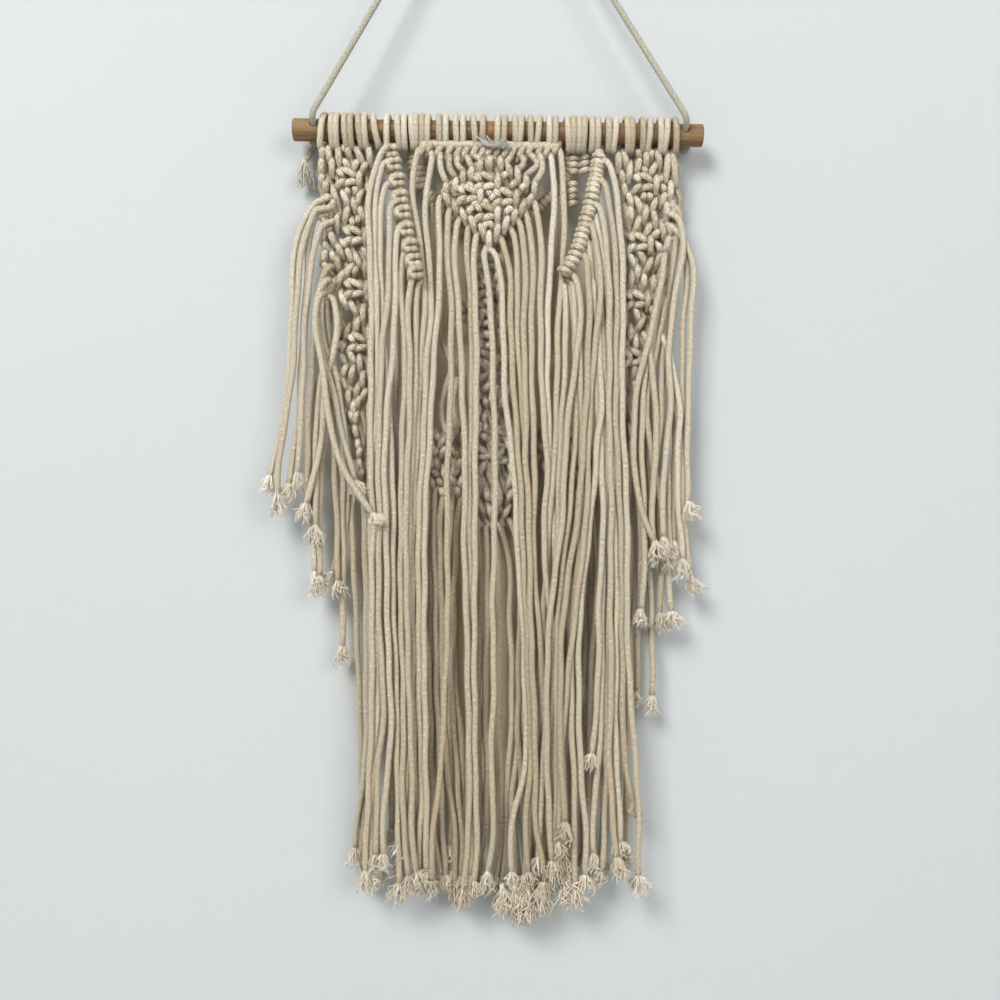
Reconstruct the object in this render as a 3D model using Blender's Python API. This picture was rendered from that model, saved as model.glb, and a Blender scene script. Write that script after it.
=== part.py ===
"""Macrame wall hanging on a wooden dowel.

Frame: metres, +Z up, +X to the viewer's right, the viewer in front at -Y. The origin is the hanging
point, where a peg or nail carries the hanging cord.

All tables are in millimetres from the middle of the dowel's axis: x to the right, drop downwards and
out towards the viewer. place() turns them into the frame's metres.
"""
import math
from collections import namedtuple

import bmesh
import bpy
import numpy as np
from mathutils import Matrix, Vector

MM = 0.001
WELD = 0.000001
SHARP = math.radians(40)            # sharper edges than this are shaded as edges

# driving sizes, millimetres
CORD = 4.2                          # cord diameter
GAP = 0.3                           # gap between two pieces that touch
DOWEL_LENGTH = 278.0
DOWEL_RADIUS = 7.5
DOWEL_CHAMFER = 0.6
DOWEL_TILT = math.radians(0.84)     # the right end hangs lower
DOWEL_SHIFT = 3.4                   # dowel's middle, right of the hanging point
CORD_RISE = 216.0                   # hanging point above the dowel's middle
HOLE_RADIUS = 2.7                   # cross holes for the hanging cord
HOLE_X = (-124.4, 126.5)
HOLE_CLIMB = math.radians(19)       # each hole rises towards the front
STRAND_RADIUS = 2.4                 # corner radius of a four-sided strand
FRAY_RADIUS = 2.8                   # its end, where the yarn fans out
FRAY_LENGTH = 12.0
RING_SIDES = 8                      # of a lark's head round the dowel
LEG_ROUND = 0.6                     # slope at the sides of a lark's head
LEG_GROOVE = 1.4                    # depth of the groove between its two legs
NET_EDGE = 2.5                      # how far a net thins towards its edges
CUT_REACH = 9.0                     # a gap's cutter, to each side of the net's middle

# depth of each layer in front of the dowel's axis
OUT_BACK_NET = -5.0
OUT_SIDE_NET = 0.0
OUT_CENTRE = 8.0
OUT_BAND_FRINGE = 14.0

# middle of each lark's head on the dowel, by section
HEADS = {
    "net_left": (-117.3, -108.5, -99.3, -89.1),
    "band_left": (-78.2, -67.0),
    "net_back": (-58.3, 48.9),
    "panel_centre": (-49.3, -38.4, -26.5, -14.3, 2.0, 13.6, 24.8, 37.4),
    "band_right": (57.9, 66.9, 78.2),
    "net_right": (90.0, 102.2, 113.7),
}
SINGLE_HEAD = ("net_right", 121.3)  # a lark's head with one leg on show

# outline of a net: drop, left edge, right edge, thickness
Row = namedtuple("Row", "drop left right thick")
NET_LEFT = [
    Row(8.5, -121, -85, 8), Row(24, -123, -84.5, 9), Row(42, -123, -86, 8), Row(58, -121.5, -85.5, 9),
    Row(68, -116.5, -87, 8), Row(80, -116.5, -86.5, 9), Row(91, -121, -87, 8), Row(98, -120, -86.5, 9),
    Row(104, -115.5, -88, 8), Row(114, -115.5, -87.5, 9), Row(130, -114, -88.5, 8),
    Row(148, -108.5, -88, 9), Row(166, -104.5, -89, 8), Row(184, -101.5, -88.5, 9),
    Row(206, -98.5, -89.5, 8), Row(229, -94.5, -90.5, 6),
]
NET_RIGHT = [
    Row(12, 85, 124, 8), Row(30, 84, 126, 9), Row(50, 85.5, 126.5, 8), Row(66, 84.5, 123, 9),
    Row(82, 85.5, 118.5, 8), Row(98, 84.5, 114, 9), Row(114, 85.5, 110, 8), Row(130, 84.5, 106.5, 9),
    Row(148, 85.5, 103, 8), Row(166, 85, 99.5, 9), Row(184, 86, 97, 8), Row(203, 88, 94, 6),
]
DIAMOND = [
    Row(17.5, -9.5, -1.5, 6), Row(24, -19, 8.5, 7), Row(31, -26, 16, 8), Row(38, -36.5, 26.5, 7),
    Row(46, -35.5, 25.5, 8), Row(54, -26, 15.5, 7), Row(62, -18, 7.5, 8), Row(71.5, -9, -1.5, 6),
]
BACK_COLUMN = [
    Row(72, -17, 9, 7), Row(92, -20, 13, 8), Row(112, -18, 11, 7), Row(132, -21, 14, 8),
    Row(152, -19, 12, 7), Row(172, -22, 15, 8), Row(192, -20, 13, 7), Row(230, -22, 16, 8),
    Row(252, -20, 14, 7), Row(270, -14, 8, 6),
]
BACK_WINGS = [
    Row(198, -30, 22, 9.6), Row(206, -44, 60, 10.4), Row(220, -48, 73, 11), Row(236, -46, 74, 10.4),
    Row(248, -42, 66, 9.6),
]

# six-sided gaps through the nets: middle, and size across and down
Hole = namedtuple("Hole", "x drop across down")
GAPS = {
    "net_left": [Hole(-107, 69.5, 7, 11), Hole(-102.5, 124, 7, 11), Hole(-97.5, 168, 6.5, 11)],
    "net_right": [Hole(91.5, 35, 7, 11), Hole(110.5, 76, 7, 11), Hole(92.5, 125, 7, 11)],
    "panel_centre": [Hole(-25, 44, 6.5, 9), Hole(15, 43.5, 6.5, 9)],
    "net_back": [Hole(-5.5, 152, 8, 12), Hole(-36, 226, 7, 11), Hole(44, 226, 8, 12)],
}

# the two diagonal bands: top end, low end
Band = namedtuple("Band", "top_x top_drop low_x low_drop")
BANDS = {
    "band_left": Band(-74.5, 11.0, -54.4, 88.0),
    "band_right": Band(72.0, 13.5, 46.5, 93.0),
}
BAND_RADIUS = 4.6
BAND_RIBS = 9
BAND_OUT = (6.5, 15.6)              # depth at the top end and at the low end
YOKE_RADIUS = 2.6                   # the turn of cord that gathers a band's lark's heads

# fringe of the centre panel: x under the bar, x a third of the way down, x at the hem, hem
Fall = namedtuple("Fall", "top_x mid_x low_x hem")
FALL_MID = 182.0                    # drop of mid_x
CENTRE_FRINGE = [
    Fall(-51.5, -52.4, -54.4, 523), Fall(-46.3, -47.2, -49.4, 525), Fall(-40.8, -42.0, -44.2, 526),
    Fall(-34.7, -31.6, -35.4, 523), Fall(-29.0, -25.2, -29.6, 539), Fall(-21.8, -19.6, -23.4, 536),
    Fall(-16.3, -14.2, -16.3, 530), Fall(-8.8, -4.5, -8.4, 525), Fall(1.0, 4.6, -2.4, 540),
    Fall(6.8, 10.4, 8.8, 529), Fall(12.2, 15.9, 15.0, 539), Fall(17.7, 21.2, 21.1, 538),
    Fall(22.6, 26.4, 27.2, 543), Fall(27.8, 31.7, 32.8, 543), Fall(37.4, 38.9, 40.0, 539),
    Fall(42.0, 44.2, 46.4, 537),
]
# fringe of the bands, from the top knot to the lowest
BAND_FRINGE = {
    "band_left": [
        Fall(-80, -92.5, -93.8, 520), Fall(-79, -86.8, -87.9, 526), Fall(-77, -81.6, -82.8, 511),
        Fall(-75, -77.2, -77.6, 518), Fall(-73, -72.6, -72.3, 525), Fall(-71, -68.2, -67.0, 528),
        Fall(-68, -64.2, -62.0, 523), Fall(-64, -60.8, -57.2, 515), Fall(-60, -57.6, -52.4, 518),
        Fall(-56, -53.2, -47.4, 521),
    ],
    "band_right": [
        Fall(77, 92.5, 101.0, 523), Fall(75, 85.4, 95.5, 474), Fall(73, 80.4, 90.4, 501),
        Fall(71, 75.8, 85.4, 503), Fall(68, 71.2, 80.4, 521), Fall(65, 66.6, 75.4, 524),
        Fall(62, 62.0, 70.4, 522), Fall(58, 57.4, 65.4, 509), Fall(55, 52.8, 60.4, 522),
        Fall(51, 48.4, 55.6, 523), Fall(48, 43.6, 50.6, 534),
    ],
}
# the back net's cords: knotted arms from its two lark's heads, and a long loop down each side
Cord = namedtuple("Cord", "x drop out radius")
BACK_ARMS = [
    [Cord(-58.3, 8, -5.7, 4.6), Cord(-57.3, 26, -5.7, 4.2), Cord(-32, 56, -5.7, 4.8), Cord(-6, 86, -5.7, 5.0)],
    [Cord(48.9, 9.4, -5.7, 4.6), Cord(47.9, 26, -5.7, 4.2), Cord(22, 56, -5.7, 4.8), Cord(-2, 86, -6.1, 5.0)],
]
BACK_LOOPS = [
    [Cord(-52, 30, -4.2, 2.4), Cord(-50, 110, -4.2, 2.4), Cord(-45, 170, -4.2, 2.4), Cord(-38, 212, -4.2, 2.4)],
    [Cord(44, 30, -4.2, 2.4), Cord(50, 110, -4.2, 2.4), Cord(58, 170, -4.2, 2.4), Cord(62, 212, -4.2, 2.4)],
]
# fringe of the back net: x where it leaves the net, drop there, x at the hem, hem
Tail = namedtuple("Tail", "x drop low_x hem")
BACK_FRINGE = [
    Tail(-43, 240, -46, 505), Tail(-37, 242, -40, 511), Tail(-31, 242, -33, 503), Tail(-25, 240, -27, 512),
    Tail(-15, 262, -18, 509), Tail(-9, 264, -11, 520), Tail(-3, 265, -4, 512), Tail(3, 264, 3, 506),
    Tail(9, 260, 10, 514), Tail(41, 240, 40, 507), Tail(49, 241, 50, 516), Tail(57, 241, 58, 504),
    Tail(65, 240, 67, 498),
]

# side fringes: drop where the strand leaves the net, its elbow, a point half-way, its end
Side = namedtuple("Side", "start elbow_x elbow_drop mid_x mid_drop end_x end_drop end_out")
SIDE_LEFT = [
    Side(47, -135.3, 58, -140.0, 120, -157.1, 251, 6), Side(50, -131.5, 65, -136.0, 134, -151.0, 263, 9),
    Side(54, -129.0, 70, -132.6, 134, -144.8, 258, 5), Side(58, -126.8, 76, -130.2, 134, -138.0, 249, 9),
    Side(90, -126.0, 101, -126.5, 182, -131.5, 268, 4), Side(119, -118.0, 131, -122.6, 182, -124.2, 271, 8),
    Side(122, -114.0, 134, -118.0, 182, -127.5, 281, 13), Side(134, -114.0, 152, -118.5, 209, -118.2, 280, 4),
    Side(150, -110.0, 168, -121.5, 229, -131.0, 318, 6), Side(160, -107.5, 178, -116.5, 236, -123.6, 320, 10),
    Side(172, -104.5, 190, -110.8, 243, -108.8, 324, 5), Side(92, -127.0, 108, -110.8, 174, -97.5, 254, 12),
    Side(120, -118.5, 150, -114.0, 207, -79.8, 273, 26), Side(198, -100.5, 215, -103.4, 277, -106.1, 359, -1),
]
SIDE_RIGHT = [
    Side(44, 130.5, 62, 131.9, 120, 131.5, 275, 3), Side(47, 127.5, 66, 125.9, 130, 127.6, 268, 8),
    Side(54, 123.0, 84, 119.4, 130, 108.4, 303, 2), Side(60, 119.0, 90, 114.4, 112, 103.6, 250, 12),
    Side(84, 112.0, 103, 97.5, 166, 110.4, 292, 12), Side(100, 110.5, 126, 111.5, 182, 119.2, 301, 7),
    Side(106, 110.0, 140, 118.3, 195, 124.6, 309, 1), Side(110, 110.0, 150, 124.9, 202, 130.1, 321, 4),
    Side(140, 102.5, 165, 106.6, 216, 110.4, 348, 7), Side(152, 101.0, 180, 110.6, 229, 118.4, 347, 3),
    Side(160, 97.5, 185, 100.6, 223, 97.4, 345, 0), Side(172, 97.0, 200, 104.6, 290, 106.4, 403, 1),
    Side(180, 94.5, 205, 98.9, 290, 99.0, 407, -4),
]

# row of half hitches under the dowel
BAR_RADIUS = 3.2
BAR_DROP = 10.6                     # below the dowel's axis
BAR_OUT = 6.0
BAR_ENDS = (-53.6, 44.2)

# the hanging cord: from behind the left hole, over the hanging point, to behind the right hole
PEG_RADIUS = 7.0                    # bend of the cord over its peg
HOLE_STUB = 8.2                     # cord's end behind the dowel's axis, along the hole
KNOT_RADIUS = 4.3
KNOT_ASIDE = 1.9                    # each knot lies this far outwards of its hole
TAIL_ROUTE = [(-126.6, 5.0, -12.4), (-127.4, 11.0, -11.6), (-129.6, 17.5, -10.0), (-131.6, 25.0, -8.5),
              (-131.8, 36.5, -8.0)]
TAIL_RADII = (2.1, 2.1, 2.2, 4.2, 5.4)
THREAD_ROUTE = [(-9.0, 1.0, 12.4), (-7.2, 7.0, 11.0), (-4.5, 12.0, 10.1), (0.0, 14.6, 10.1),
                (5.0, 13.2, 10.2), (8.6, 16.4, 10.5)]
THREAD_RADIUS = 0.9


def place(x, drop, out):
    """A point of the tables, in the frame's metres."""
    return Vector((DOWEL_SHIFT + x, -out, -CORD_RISE - drop)) * MM


def axis_drop(x):
    """How far the tilted dowel's axis lies below its middle at x."""
    return x * math.tan(DOWEL_TILT)


def finish(name, colour, roughness):
    """A plain material of one colour, given as sRGB hex."""
    linear = []
    for start in (0, 2, 4):
        value = int(colour[start:start + 2], 16) / 255
        linear.append(value / 12.92 if value <= 0.04045 else ((value + 0.055) / 1.055) ** 2.4)
    made = bpy.data.materials.new(name)
    made.use_nodes = True
    shader = made.node_tree.nodes["Principled BSDF"]
    shader.inputs["Base Color"].default_value = (*linear, 1.0)
    shader.inputs["Roughness"].default_value = roughness
    shader.inputs["Metallic"].default_value = 0.0
    made.diffuse_color = (*linear, 1.0)
    return made


def add_object(name, data, material):
    made = bpy.data.objects.new(name, data)
    bpy.context.collection.objects.link(made)
    if material:
        data.materials.append(material)
    return made


def smooth(points, count):
    """count points, evenly spaced, on a smooth curve through the given ones."""
    points = [np.array(p, dtype=float) for p in points]
    padded = [2 * points[0] - points[1]] + points + [2 * points[-1] - points[-2]]
    dense = []
    for a, b, c, d in zip(padded, padded[1:], padded[2:], padded[3:]):
        for t in np.linspace(0, 1, 16, endpoint=False):
            dense.append(0.5 * (2 * b + (c - a) * t + (2 * a - 5 * b + 4 * c - d) * t ** 2
                                + (3 * b - a - 3 * c + d) * t ** 3))
    dense.append(points[-1])
    dense = np.array(dense)
    along = np.concatenate(([0], np.cumsum(np.linalg.norm(np.diff(dense[:, :3], axis=0), axis=1))))
    wanted = np.linspace(0, along[-1], count)
    return [tuple(np.interp(w, along, dense[:, i]) for i in range(dense.shape[1])) for w in wanted]


def tubes(name, routes, resolution=0):
    """A curve object's data with one closed tube for each route of (x, drop, out, radius)."""
    curve = bpy.data.curves.new(name, "CURVE")
    curve.dimensions = "3D"
    curve.bevel_depth = MM
    curve.bevel_resolution = resolution
    curve.use_fill_caps = True
    for route in routes:
        spline = curve.splines.new("POLY")
        spline.points.add(len(route) - 1)
        for point, (x, drop, out, radius) in zip(spline.points, route):
            point.co = (*place(x, drop, out), 1.0)
            point.radius = radius
    return curve


def tube_mesh(name, routes, resolution=0):
    """The same tubes as a mesh, with their caps welded on."""
    holder = bpy.data.objects.new(name, tubes(name, routes, resolution))
    bm = bmesh.new()
    bm.from_mesh(bpy.data.meshes.new_from_object(holder))
    bmesh.ops.remove_doubles(bm, verts=bm.verts, dist=WELD)
    bpy.data.objects.remove(holder)
    return to_mesh(name, bm)


def bridge(bm, loops):
    """Closed body through a list of vertex loops, with both ends filled."""
    for near, far in zip(loops, loops[1:]):
        for i in range(len(near)):
            j = (i + 1) % len(near)
            bm.faces.new((near[i], near[j], far[j], far[i]))
    bm.faces.new(loops[0])
    bm.faces.new(list(reversed(loops[-1])))


def net_slab(bm, rows, out):
    """A net's outer form: a six-sided section, thin at both edges, lofted down its rows."""
    loops = []
    for row in rows:
        edge = min(NET_EDGE, (row.right - row.left) / 4)
        half = row.thick / 2
        section = [(row.left, 0), (row.left + edge, half), (row.right - edge, half),
                   (row.right, 0), (row.right - edge, -half), (row.left + edge, -half)]
        loops.append([bm.verts.new(place(x, row.drop, out + depth)) for x, depth in section])
    bridge(bm, loops)


def lark_head(bm, x, legs=2):
    """The turns of one cord round the dowel, with a groove between its two legs."""
    half = legs * CORD / 2
    inner = (DOWEL_RADIUS + GAP) / math.cos(math.pi / RING_SIDES)
    outer = DOWEL_RADIUS + GAP + CORD
    profile = [(-half, inner), (-half + LEG_ROUND, outer), (half - LEG_ROUND, outer), (half, inner)]
    if legs == 2:
        profile.insert(2, (0, outer - LEG_GROOVE))
    to_frame = Matrix.Translation(place(x, axis_drop(x), 0)) @ Matrix.Rotation(DOWEL_TILT, 4, "Y")
    loops = []
    for step in range(RING_SIDES):
        angle = 2 * math.pi * step / RING_SIDES
        ring = [Vector((side, radius * math.cos(angle), radius * math.sin(angle))) * MM
                for side, radius in profile]
        loops.append([bm.verts.new(to_frame @ point) for point in ring])
    for near, far in zip(loops, loops[1:] + loops[:1]):
        for i in range(len(profile)):
            j = (i + 1) % len(profile)
            bm.faces.new((near[i], near[j], far[j], far[i]))


def gap_cutter(bm, hole, out):
    """A six-sided prism, upright, through a net's thickness."""
    wide, tall = hole.across / 2, hole.down / 2
    outline = [(0, -tall), (wide, -tall / 2), (wide, tall / 2),
               (0, tall), (-wide, tall / 2), (-wide, -tall / 2)]
    loops = []
    for depth in (out - CUT_REACH, out + CUT_REACH):
        loops.append([bm.verts.new(place(hole.x + x, hole.drop + drop, depth)) for x, drop in outline])
    bridge(bm, loops)


def to_mesh(name, bm):
    bmesh.ops.recalc_face_normals(bm, faces=bm.faces)
    mesh = bpy.data.meshes.new(name)
    bm.to_mesh(mesh)
    bm.free()
    mesh.shade_smooth()
    mesh.set_sharp_from_angle(angle=SHARP)
    return mesh


def helper(name, mesh):
    """A hidden object that a Boolean modifier reads."""
    made = add_object(name, mesh, None)
    made.hide_render = True
    made.display_type = "WIRE"
    return made


def add_boolean(target, operation, other, use_self=False):
    modifier = target.modifiers.new(operation.lower(), "BOOLEAN")
    modifier.operation = operation
    modifier.solver = "EXACT"
    modifier.use_self = use_self
    modifier.object = other


def section(name, material, slabs, routes, out):
    """One section of knotted cord: its lark's heads, nets and strands united, its gaps cut through."""
    cords = bmesh.new()
    cords.from_mesh(tube_mesh(name + "_strands", routes))
    for x in HEADS[name]:
        lark_head(cords, x)
    if SINGLE_HEAD[0] == name:
        lark_head(cords, SINGLE_HEAD[1], legs=1)
    for rows in slabs[1:]:
        net_slab(cords, rows, out)
    body = bmesh.new()
    if slabs:
        net_slab(body, slabs[0], out)
    made = add_object(name, to_mesh(name, body), material)
    add_boolean(made, "UNION", helper(name + "_cords", to_mesh(name + "_cords", cords)), use_self=True)
    if name in GAPS:
        cutter = bmesh.new()
        for hole in GAPS[name]:
            gap_cutter(cutter, hole, out)
        add_boolean(made, "DIFFERENCE", helper(name + "_gaps", to_mesh(name + "_gaps", cutter)))
    return made


def with_fray(points, count):
    """A strand's route: smooth through its points, with a wider end where the yarn fans out."""
    route = [(x, drop, out, STRAND_RADIUS) for x, drop, out in smooth(points, count)]
    x, drop, out, _ = route[-1]
    route[-1] = (x, drop - FRAY_LENGTH, out, STRAND_RADIUS)
    route.append((x, drop, out, FRAY_RADIUS))
    return route


def side_routes(sides, rows, inset):
    """Side fringe of a net: each strand starts inside the net's edge."""
    drops = [row.drop for row in rows]
    edges = [row.left if inset > 0 else row.right for row in rows]
    routes = []
    for side in sides:
        start_x = float(np.interp(side.start, drops, edges)) + inset
        points = [(start_x, side.start, OUT_SIDE_NET),
                  (side.elbow_x, side.elbow_drop, OUT_SIDE_NET + 2),
                  (side.mid_x, side.mid_drop, (OUT_SIDE_NET + 2 + side.end_out) / 2),
                  (side.end_x, side.end_drop, side.end_out)]
        routes.append(with_fray(points, 5))
    return routes


def make_dowel(material):
    """Turned rod with chamfered ends and two cross holes that rise towards the front."""
    bm = bmesh.new()
    bmesh.ops.create_cone(bm, cap_ends=True, segments=32, radius1=DOWEL_RADIUS * MM,
                          radius2=DOWEL_RADIUS * MM, depth=DOWEL_LENGTH * MM)
    ends = [edge for edge in bm.edges if len({round(v.co.z, 6) for v in edge.verts}) == 1]
    bmesh.ops.bevel(bm, geom=ends, offset=DOWEL_CHAMFER * MM, segments=1, affect="EDGES")
    lie = Matrix.Rotation(DOWEL_TILT, 4, "Y") @ Matrix.Rotation(math.radians(90), 4, "Y")
    bmesh.ops.transform(bm, matrix=Matrix.Translation(place(0, 0, 0)) @ lie, verts=bm.verts)
    dowel = add_object("dowel", to_mesh("dowel", bm), material)
    cutter = bmesh.new()
    for x in HOLE_X:
        stand = Matrix.Rotation(math.radians(90) - HOLE_CLIMB, 4, "X")
        spot = Matrix.Translation(place(x, axis_drop(x), 0))
        bmesh.ops.create_cone(cutter, cap_ends=True, segments=16, radius1=HOLE_RADIUS * MM,
                              radius2=HOLE_RADIUS * MM, depth=6 * DOWEL_RADIUS * MM, matrix=spot @ stand)
    add_boolean(dowel, "DIFFERENCE", helper("dowel_holes", to_mesh("dowel_holes", cutter)))


def through_hole(x, along):
    """A point on a cross hole's axis, along it towards the front."""
    return (x, axis_drop(x) - along * math.sin(HOLE_CLIMB), along * math.cos(HOLE_CLIMB))


def hanging_route():
    """Points that the hanging cord follows, from hole to hole over the peg."""
    left, right = HOLE_X
    peak = -CORD_RISE + CORD / 2
    bends = ((left + 6.4, -19.0, 13.8), (right - 6.4, -15.4, 13.8))
    sides = []
    for away, low in zip((-1, 1), bends):
        top = np.array((-DOWEL_SHIFT + away * (PEG_RADIUS + 2.6), peak + 7.0, 0.0))
        sides.append([tuple(low + (top - low) * share) for share in np.linspace(0, 1, 11)])
    start = [through_hole(left, -HOLE_STUB), through_hole(left, 0), through_hole(left, 6)]
    end = [through_hole(right, 6), through_hole(right, 0), through_hole(right, -HOLE_STUB)]
    over = sides[0] + [(-DOWEL_SHIFT, peak, 0)] + sides[1][::-1]
    return start + [(left + 0.6, -8.6, 13.0)] + over + [(right - 0.6, -5.0, 13.0)] + end


def make_hanging_cord(material):
    """The cord, its frayed tail on the left and its stopper knots behind the two holes."""
    route = [(*point, CORD / 2) for point in smooth(hanging_route(), 60)]
    add_object("hanging_cord", tubes("hanging_cord", [route], 2), material)

    reach = HOLE_STUB + GAP + KNOT_RADIUS
    for name, hole, aside in zip(("hanging_cord_tail", "hanging_cord_knot"), HOLE_X, (-KNOT_ASIDE, KNOT_ASIDE)):
        x, drop, out = through_hole(hole, -reach)
        bm = bmesh.new()
        bmesh.ops.create_icosphere(bm, subdivisions=2, radius=KNOT_RADIUS * MM,
                                   matrix=Matrix.Translation(place(x + aside, drop, out)))
        knot = add_object(name, to_mesh(name, bm), material)
        if name == "hanging_cord_tail":
            tail = [(*point, radius) for point, radius in zip(TAIL_ROUTE, TAIL_RADII)]
            add_boolean(knot, "UNION", helper("tail_cord", tube_mesh("tail_cord", [smooth(tail, 8)], 1)))


def make_band(name, material):
    """A diagonal row of half hitches with its fringe, hung from its lark's heads."""
    band = BANDS[name]
    steps = 2 * BAND_RIBS
    ribs = []
    for i in range(steps + 1):
        t = i / steps
        swell = 1.0 if i % 2 else 0.86
        ribs.append((band.top_x + (band.low_x - band.top_x) * t,
                     band.top_drop + axis_drop(band.top_x) * (1 - t) + (band.low_drop - band.top_drop) * t,
                     BAND_OUT[0] + (BAND_OUT[1] - BAND_OUT[0]) * t, BAND_RADIUS * swell))
    heads = HEADS[name]
    yoke = [(x, 11.2 + axis_drop(x), BAND_OUT[0], YOKE_RADIUS) for x in (heads[0] - 3, heads[-1] + 3)]
    routes = [yoke]
    falls = BAND_FRINGE[name]
    for i, fall in enumerate(falls):
        t = (i + 0.6) / len(falls)
        knot_x, knot_drop, knot_out, _ = (np.interp(t * steps, range(steps + 1), values)
                                          for values in zip(*ribs))
        points = [(knot_x, knot_drop, knot_out), (fall.top_x, knot_drop + 9, knot_out + 0.2),
                  (fall.mid_x, FALL_MID, OUT_BAND_FRINGE), (fall.low_x, fall.hem, OUT_BAND_FRINGE)]
        routes.append(with_fray(points, 5))
    cords = bmesh.new()
    cords.from_mesh(tube_mesh(name + "_strands", routes))
    for x in heads:
        lark_head(cords, x)
    made = add_object(name, tube_mesh(name, [ribs], 1), material)
    add_boolean(made, "UNION", helper(name + "_cords", to_mesh(name + "_cords", cords)), use_self=True)


def make_centre_panel(material):
    """Row of half hitches under the dowel, a diamond of square knots, and the fringe."""
    bar = [(x, BAR_DROP + axis_drop(x), BAR_OUT, BAR_RADIUS) for x in BAR_ENDS]
    routes = [bar]
    for fall in CENTRE_FRINGE:
        top = BAR_DROP + axis_drop(fall.top_x)
        points = [(fall.top_x, top, BAR_OUT + 0.4), (fall.top_x, top + 25, OUT_CENTRE),
                  (fall.mid_x, FALL_MID, OUT_CENTRE), (fall.low_x, fall.hem, OUT_CENTRE)]
        routes.append(with_fray(points, 6))
    section("panel_centre", material, [DIAMOND], routes, OUT_CENTRE)


def make_back_net(material):
    """Second layer: its arms and loops, a column of square knots, wings and its fringe."""
    out = OUT_BACK_NET
    routes = BACK_ARMS + BACK_LOOPS
    for tail in BACK_FRINGE:
        points = [(tail.x, tail.drop, out), (tail.x, tail.drop + 60, out), (tail.low_x, tail.hem, out)]
        routes.append(with_fray(points, 4))
    section("net_back", material, [BACK_COLUMN, BACK_WINGS], routes, out)


def build():
    for old in list(bpy.data.objects):
        bpy.data.objects.remove(old)
    oak = finish("oiled_oak", "A9784A", 0.55)
    cotton = finish("cotton_cord", "D8CBB2", 0.9)
    braid = finish("braided_hanging_cord", "C9C3B2", 0.85)
    white = finish("white_thread", "ECEBE8", 0.85)
    make_dowel(oak)
    make_hanging_cord(braid)
    section("net_left", cotton, [NET_LEFT], side_routes(SIDE_LEFT, NET_LEFT, 4), OUT_SIDE_NET)
    section("net_right", cotton, [NET_RIGHT], side_routes(SIDE_RIGHT, NET_RIGHT, -4), OUT_SIDE_NET)
    make_band("band_left", cotton)
    make_band("band_right", cotton)
    make_centre_panel(cotton)
    make_back_net(cotton)
    thread = [(*point, THREAD_RADIUS) for point in smooth(THREAD_ROUTE, 10)]
    add_object("tie_thread", tubes("tie_thread", [thread], 1), white)


build()
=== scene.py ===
import math

import bpy
import numpy as np
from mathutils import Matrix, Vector


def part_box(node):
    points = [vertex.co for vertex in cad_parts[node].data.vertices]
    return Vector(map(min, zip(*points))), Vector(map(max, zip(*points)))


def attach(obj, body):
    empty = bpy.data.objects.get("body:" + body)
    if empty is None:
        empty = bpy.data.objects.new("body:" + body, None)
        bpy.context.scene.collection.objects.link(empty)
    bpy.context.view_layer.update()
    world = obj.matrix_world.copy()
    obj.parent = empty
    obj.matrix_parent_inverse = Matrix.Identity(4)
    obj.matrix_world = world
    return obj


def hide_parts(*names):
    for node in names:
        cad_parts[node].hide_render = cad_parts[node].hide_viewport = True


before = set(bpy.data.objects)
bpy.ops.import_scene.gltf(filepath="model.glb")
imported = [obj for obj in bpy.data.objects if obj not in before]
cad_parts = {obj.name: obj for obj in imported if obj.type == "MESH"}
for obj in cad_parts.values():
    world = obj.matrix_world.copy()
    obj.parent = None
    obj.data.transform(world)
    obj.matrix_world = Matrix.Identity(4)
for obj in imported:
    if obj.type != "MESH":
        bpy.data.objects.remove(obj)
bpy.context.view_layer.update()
bpy.ops.object.select_all(action="DESELECT")
random = np.random.default_rng(7)

# All tables are in millimetres from the middle of the dowel's axis: x to the right, drop downwards
# and out towards the viewer. A strand's row is its depth, out, and its points as (x, drop).
mm = 0.001
dowelMiddle = sum(np.array(corner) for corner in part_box("dowel")) / 2
dowelTilt = math.radians(0.84)  # the right end hangs lower
cordWidth = 4.2
cordRadius = cordWidth / 2


def place(points):  # table millimetres to the frame's metres
    points = np.asarray(points, float)
    return dowelMiddle + np.stack((points[:, 0], -points[:, 2], -points[:, 1]), axis=1) * mm


def axisDrop(x):  # how far the tilted dowel's axis lies below its middle
    return x * math.tan(dowelTilt)


def linear(colour):  # sRGB hex to linear
    parts = [int(colour[i:i + 2], 16) / 255 for i in (0, 2, 4)]
    return [p / 12.92 if p <= 0.04045 else ((p + 0.055) / 1.055) ** 2.4 for p in parts] + [1.0]


# camera, light and room

room = {
    "cameraAside": 4.8, "cameraHeight": -465.7, "cameraDistance": 736, "seenWidth": 680,
    "wallBehind": 18, "floorHeight": -1150, "wallSize": 6000, "wallColour": "B3B7B8",
    # the last wall colour is painted bounce light: a warm tone on the wall close behind the piece, placed and
    # sized by the next line
    "wallShade": "ACB0B1", "paintedBounceColour": "A59B86",
    "paintedBounceLow": 0.06, "paintedBounceNarrow": (8.7, 4.0, 0.0),  # metres below the middle, one over its half sizes
    "skyColour": "FFF9F0", "skyStrength": 0.42,
}
lamps = {  # place and aim in metres, size in metres, power in watts
    "windowLight": {"at": (-1.3, -2.6, 1.5), "aim": (0, 0, -0.5), "size": 1.3, "power": 136},
    "fillLight": {"at": (1.8, -2.9, 0.5), "aim": (0, 0, -0.5), "size": 1.6, "power": 56},
    "backLight": {"at": (0.5, 2.6, 0.4), "aim": (0, 0, -0.5), "size": 1.8, "power": 45},
}


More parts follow.
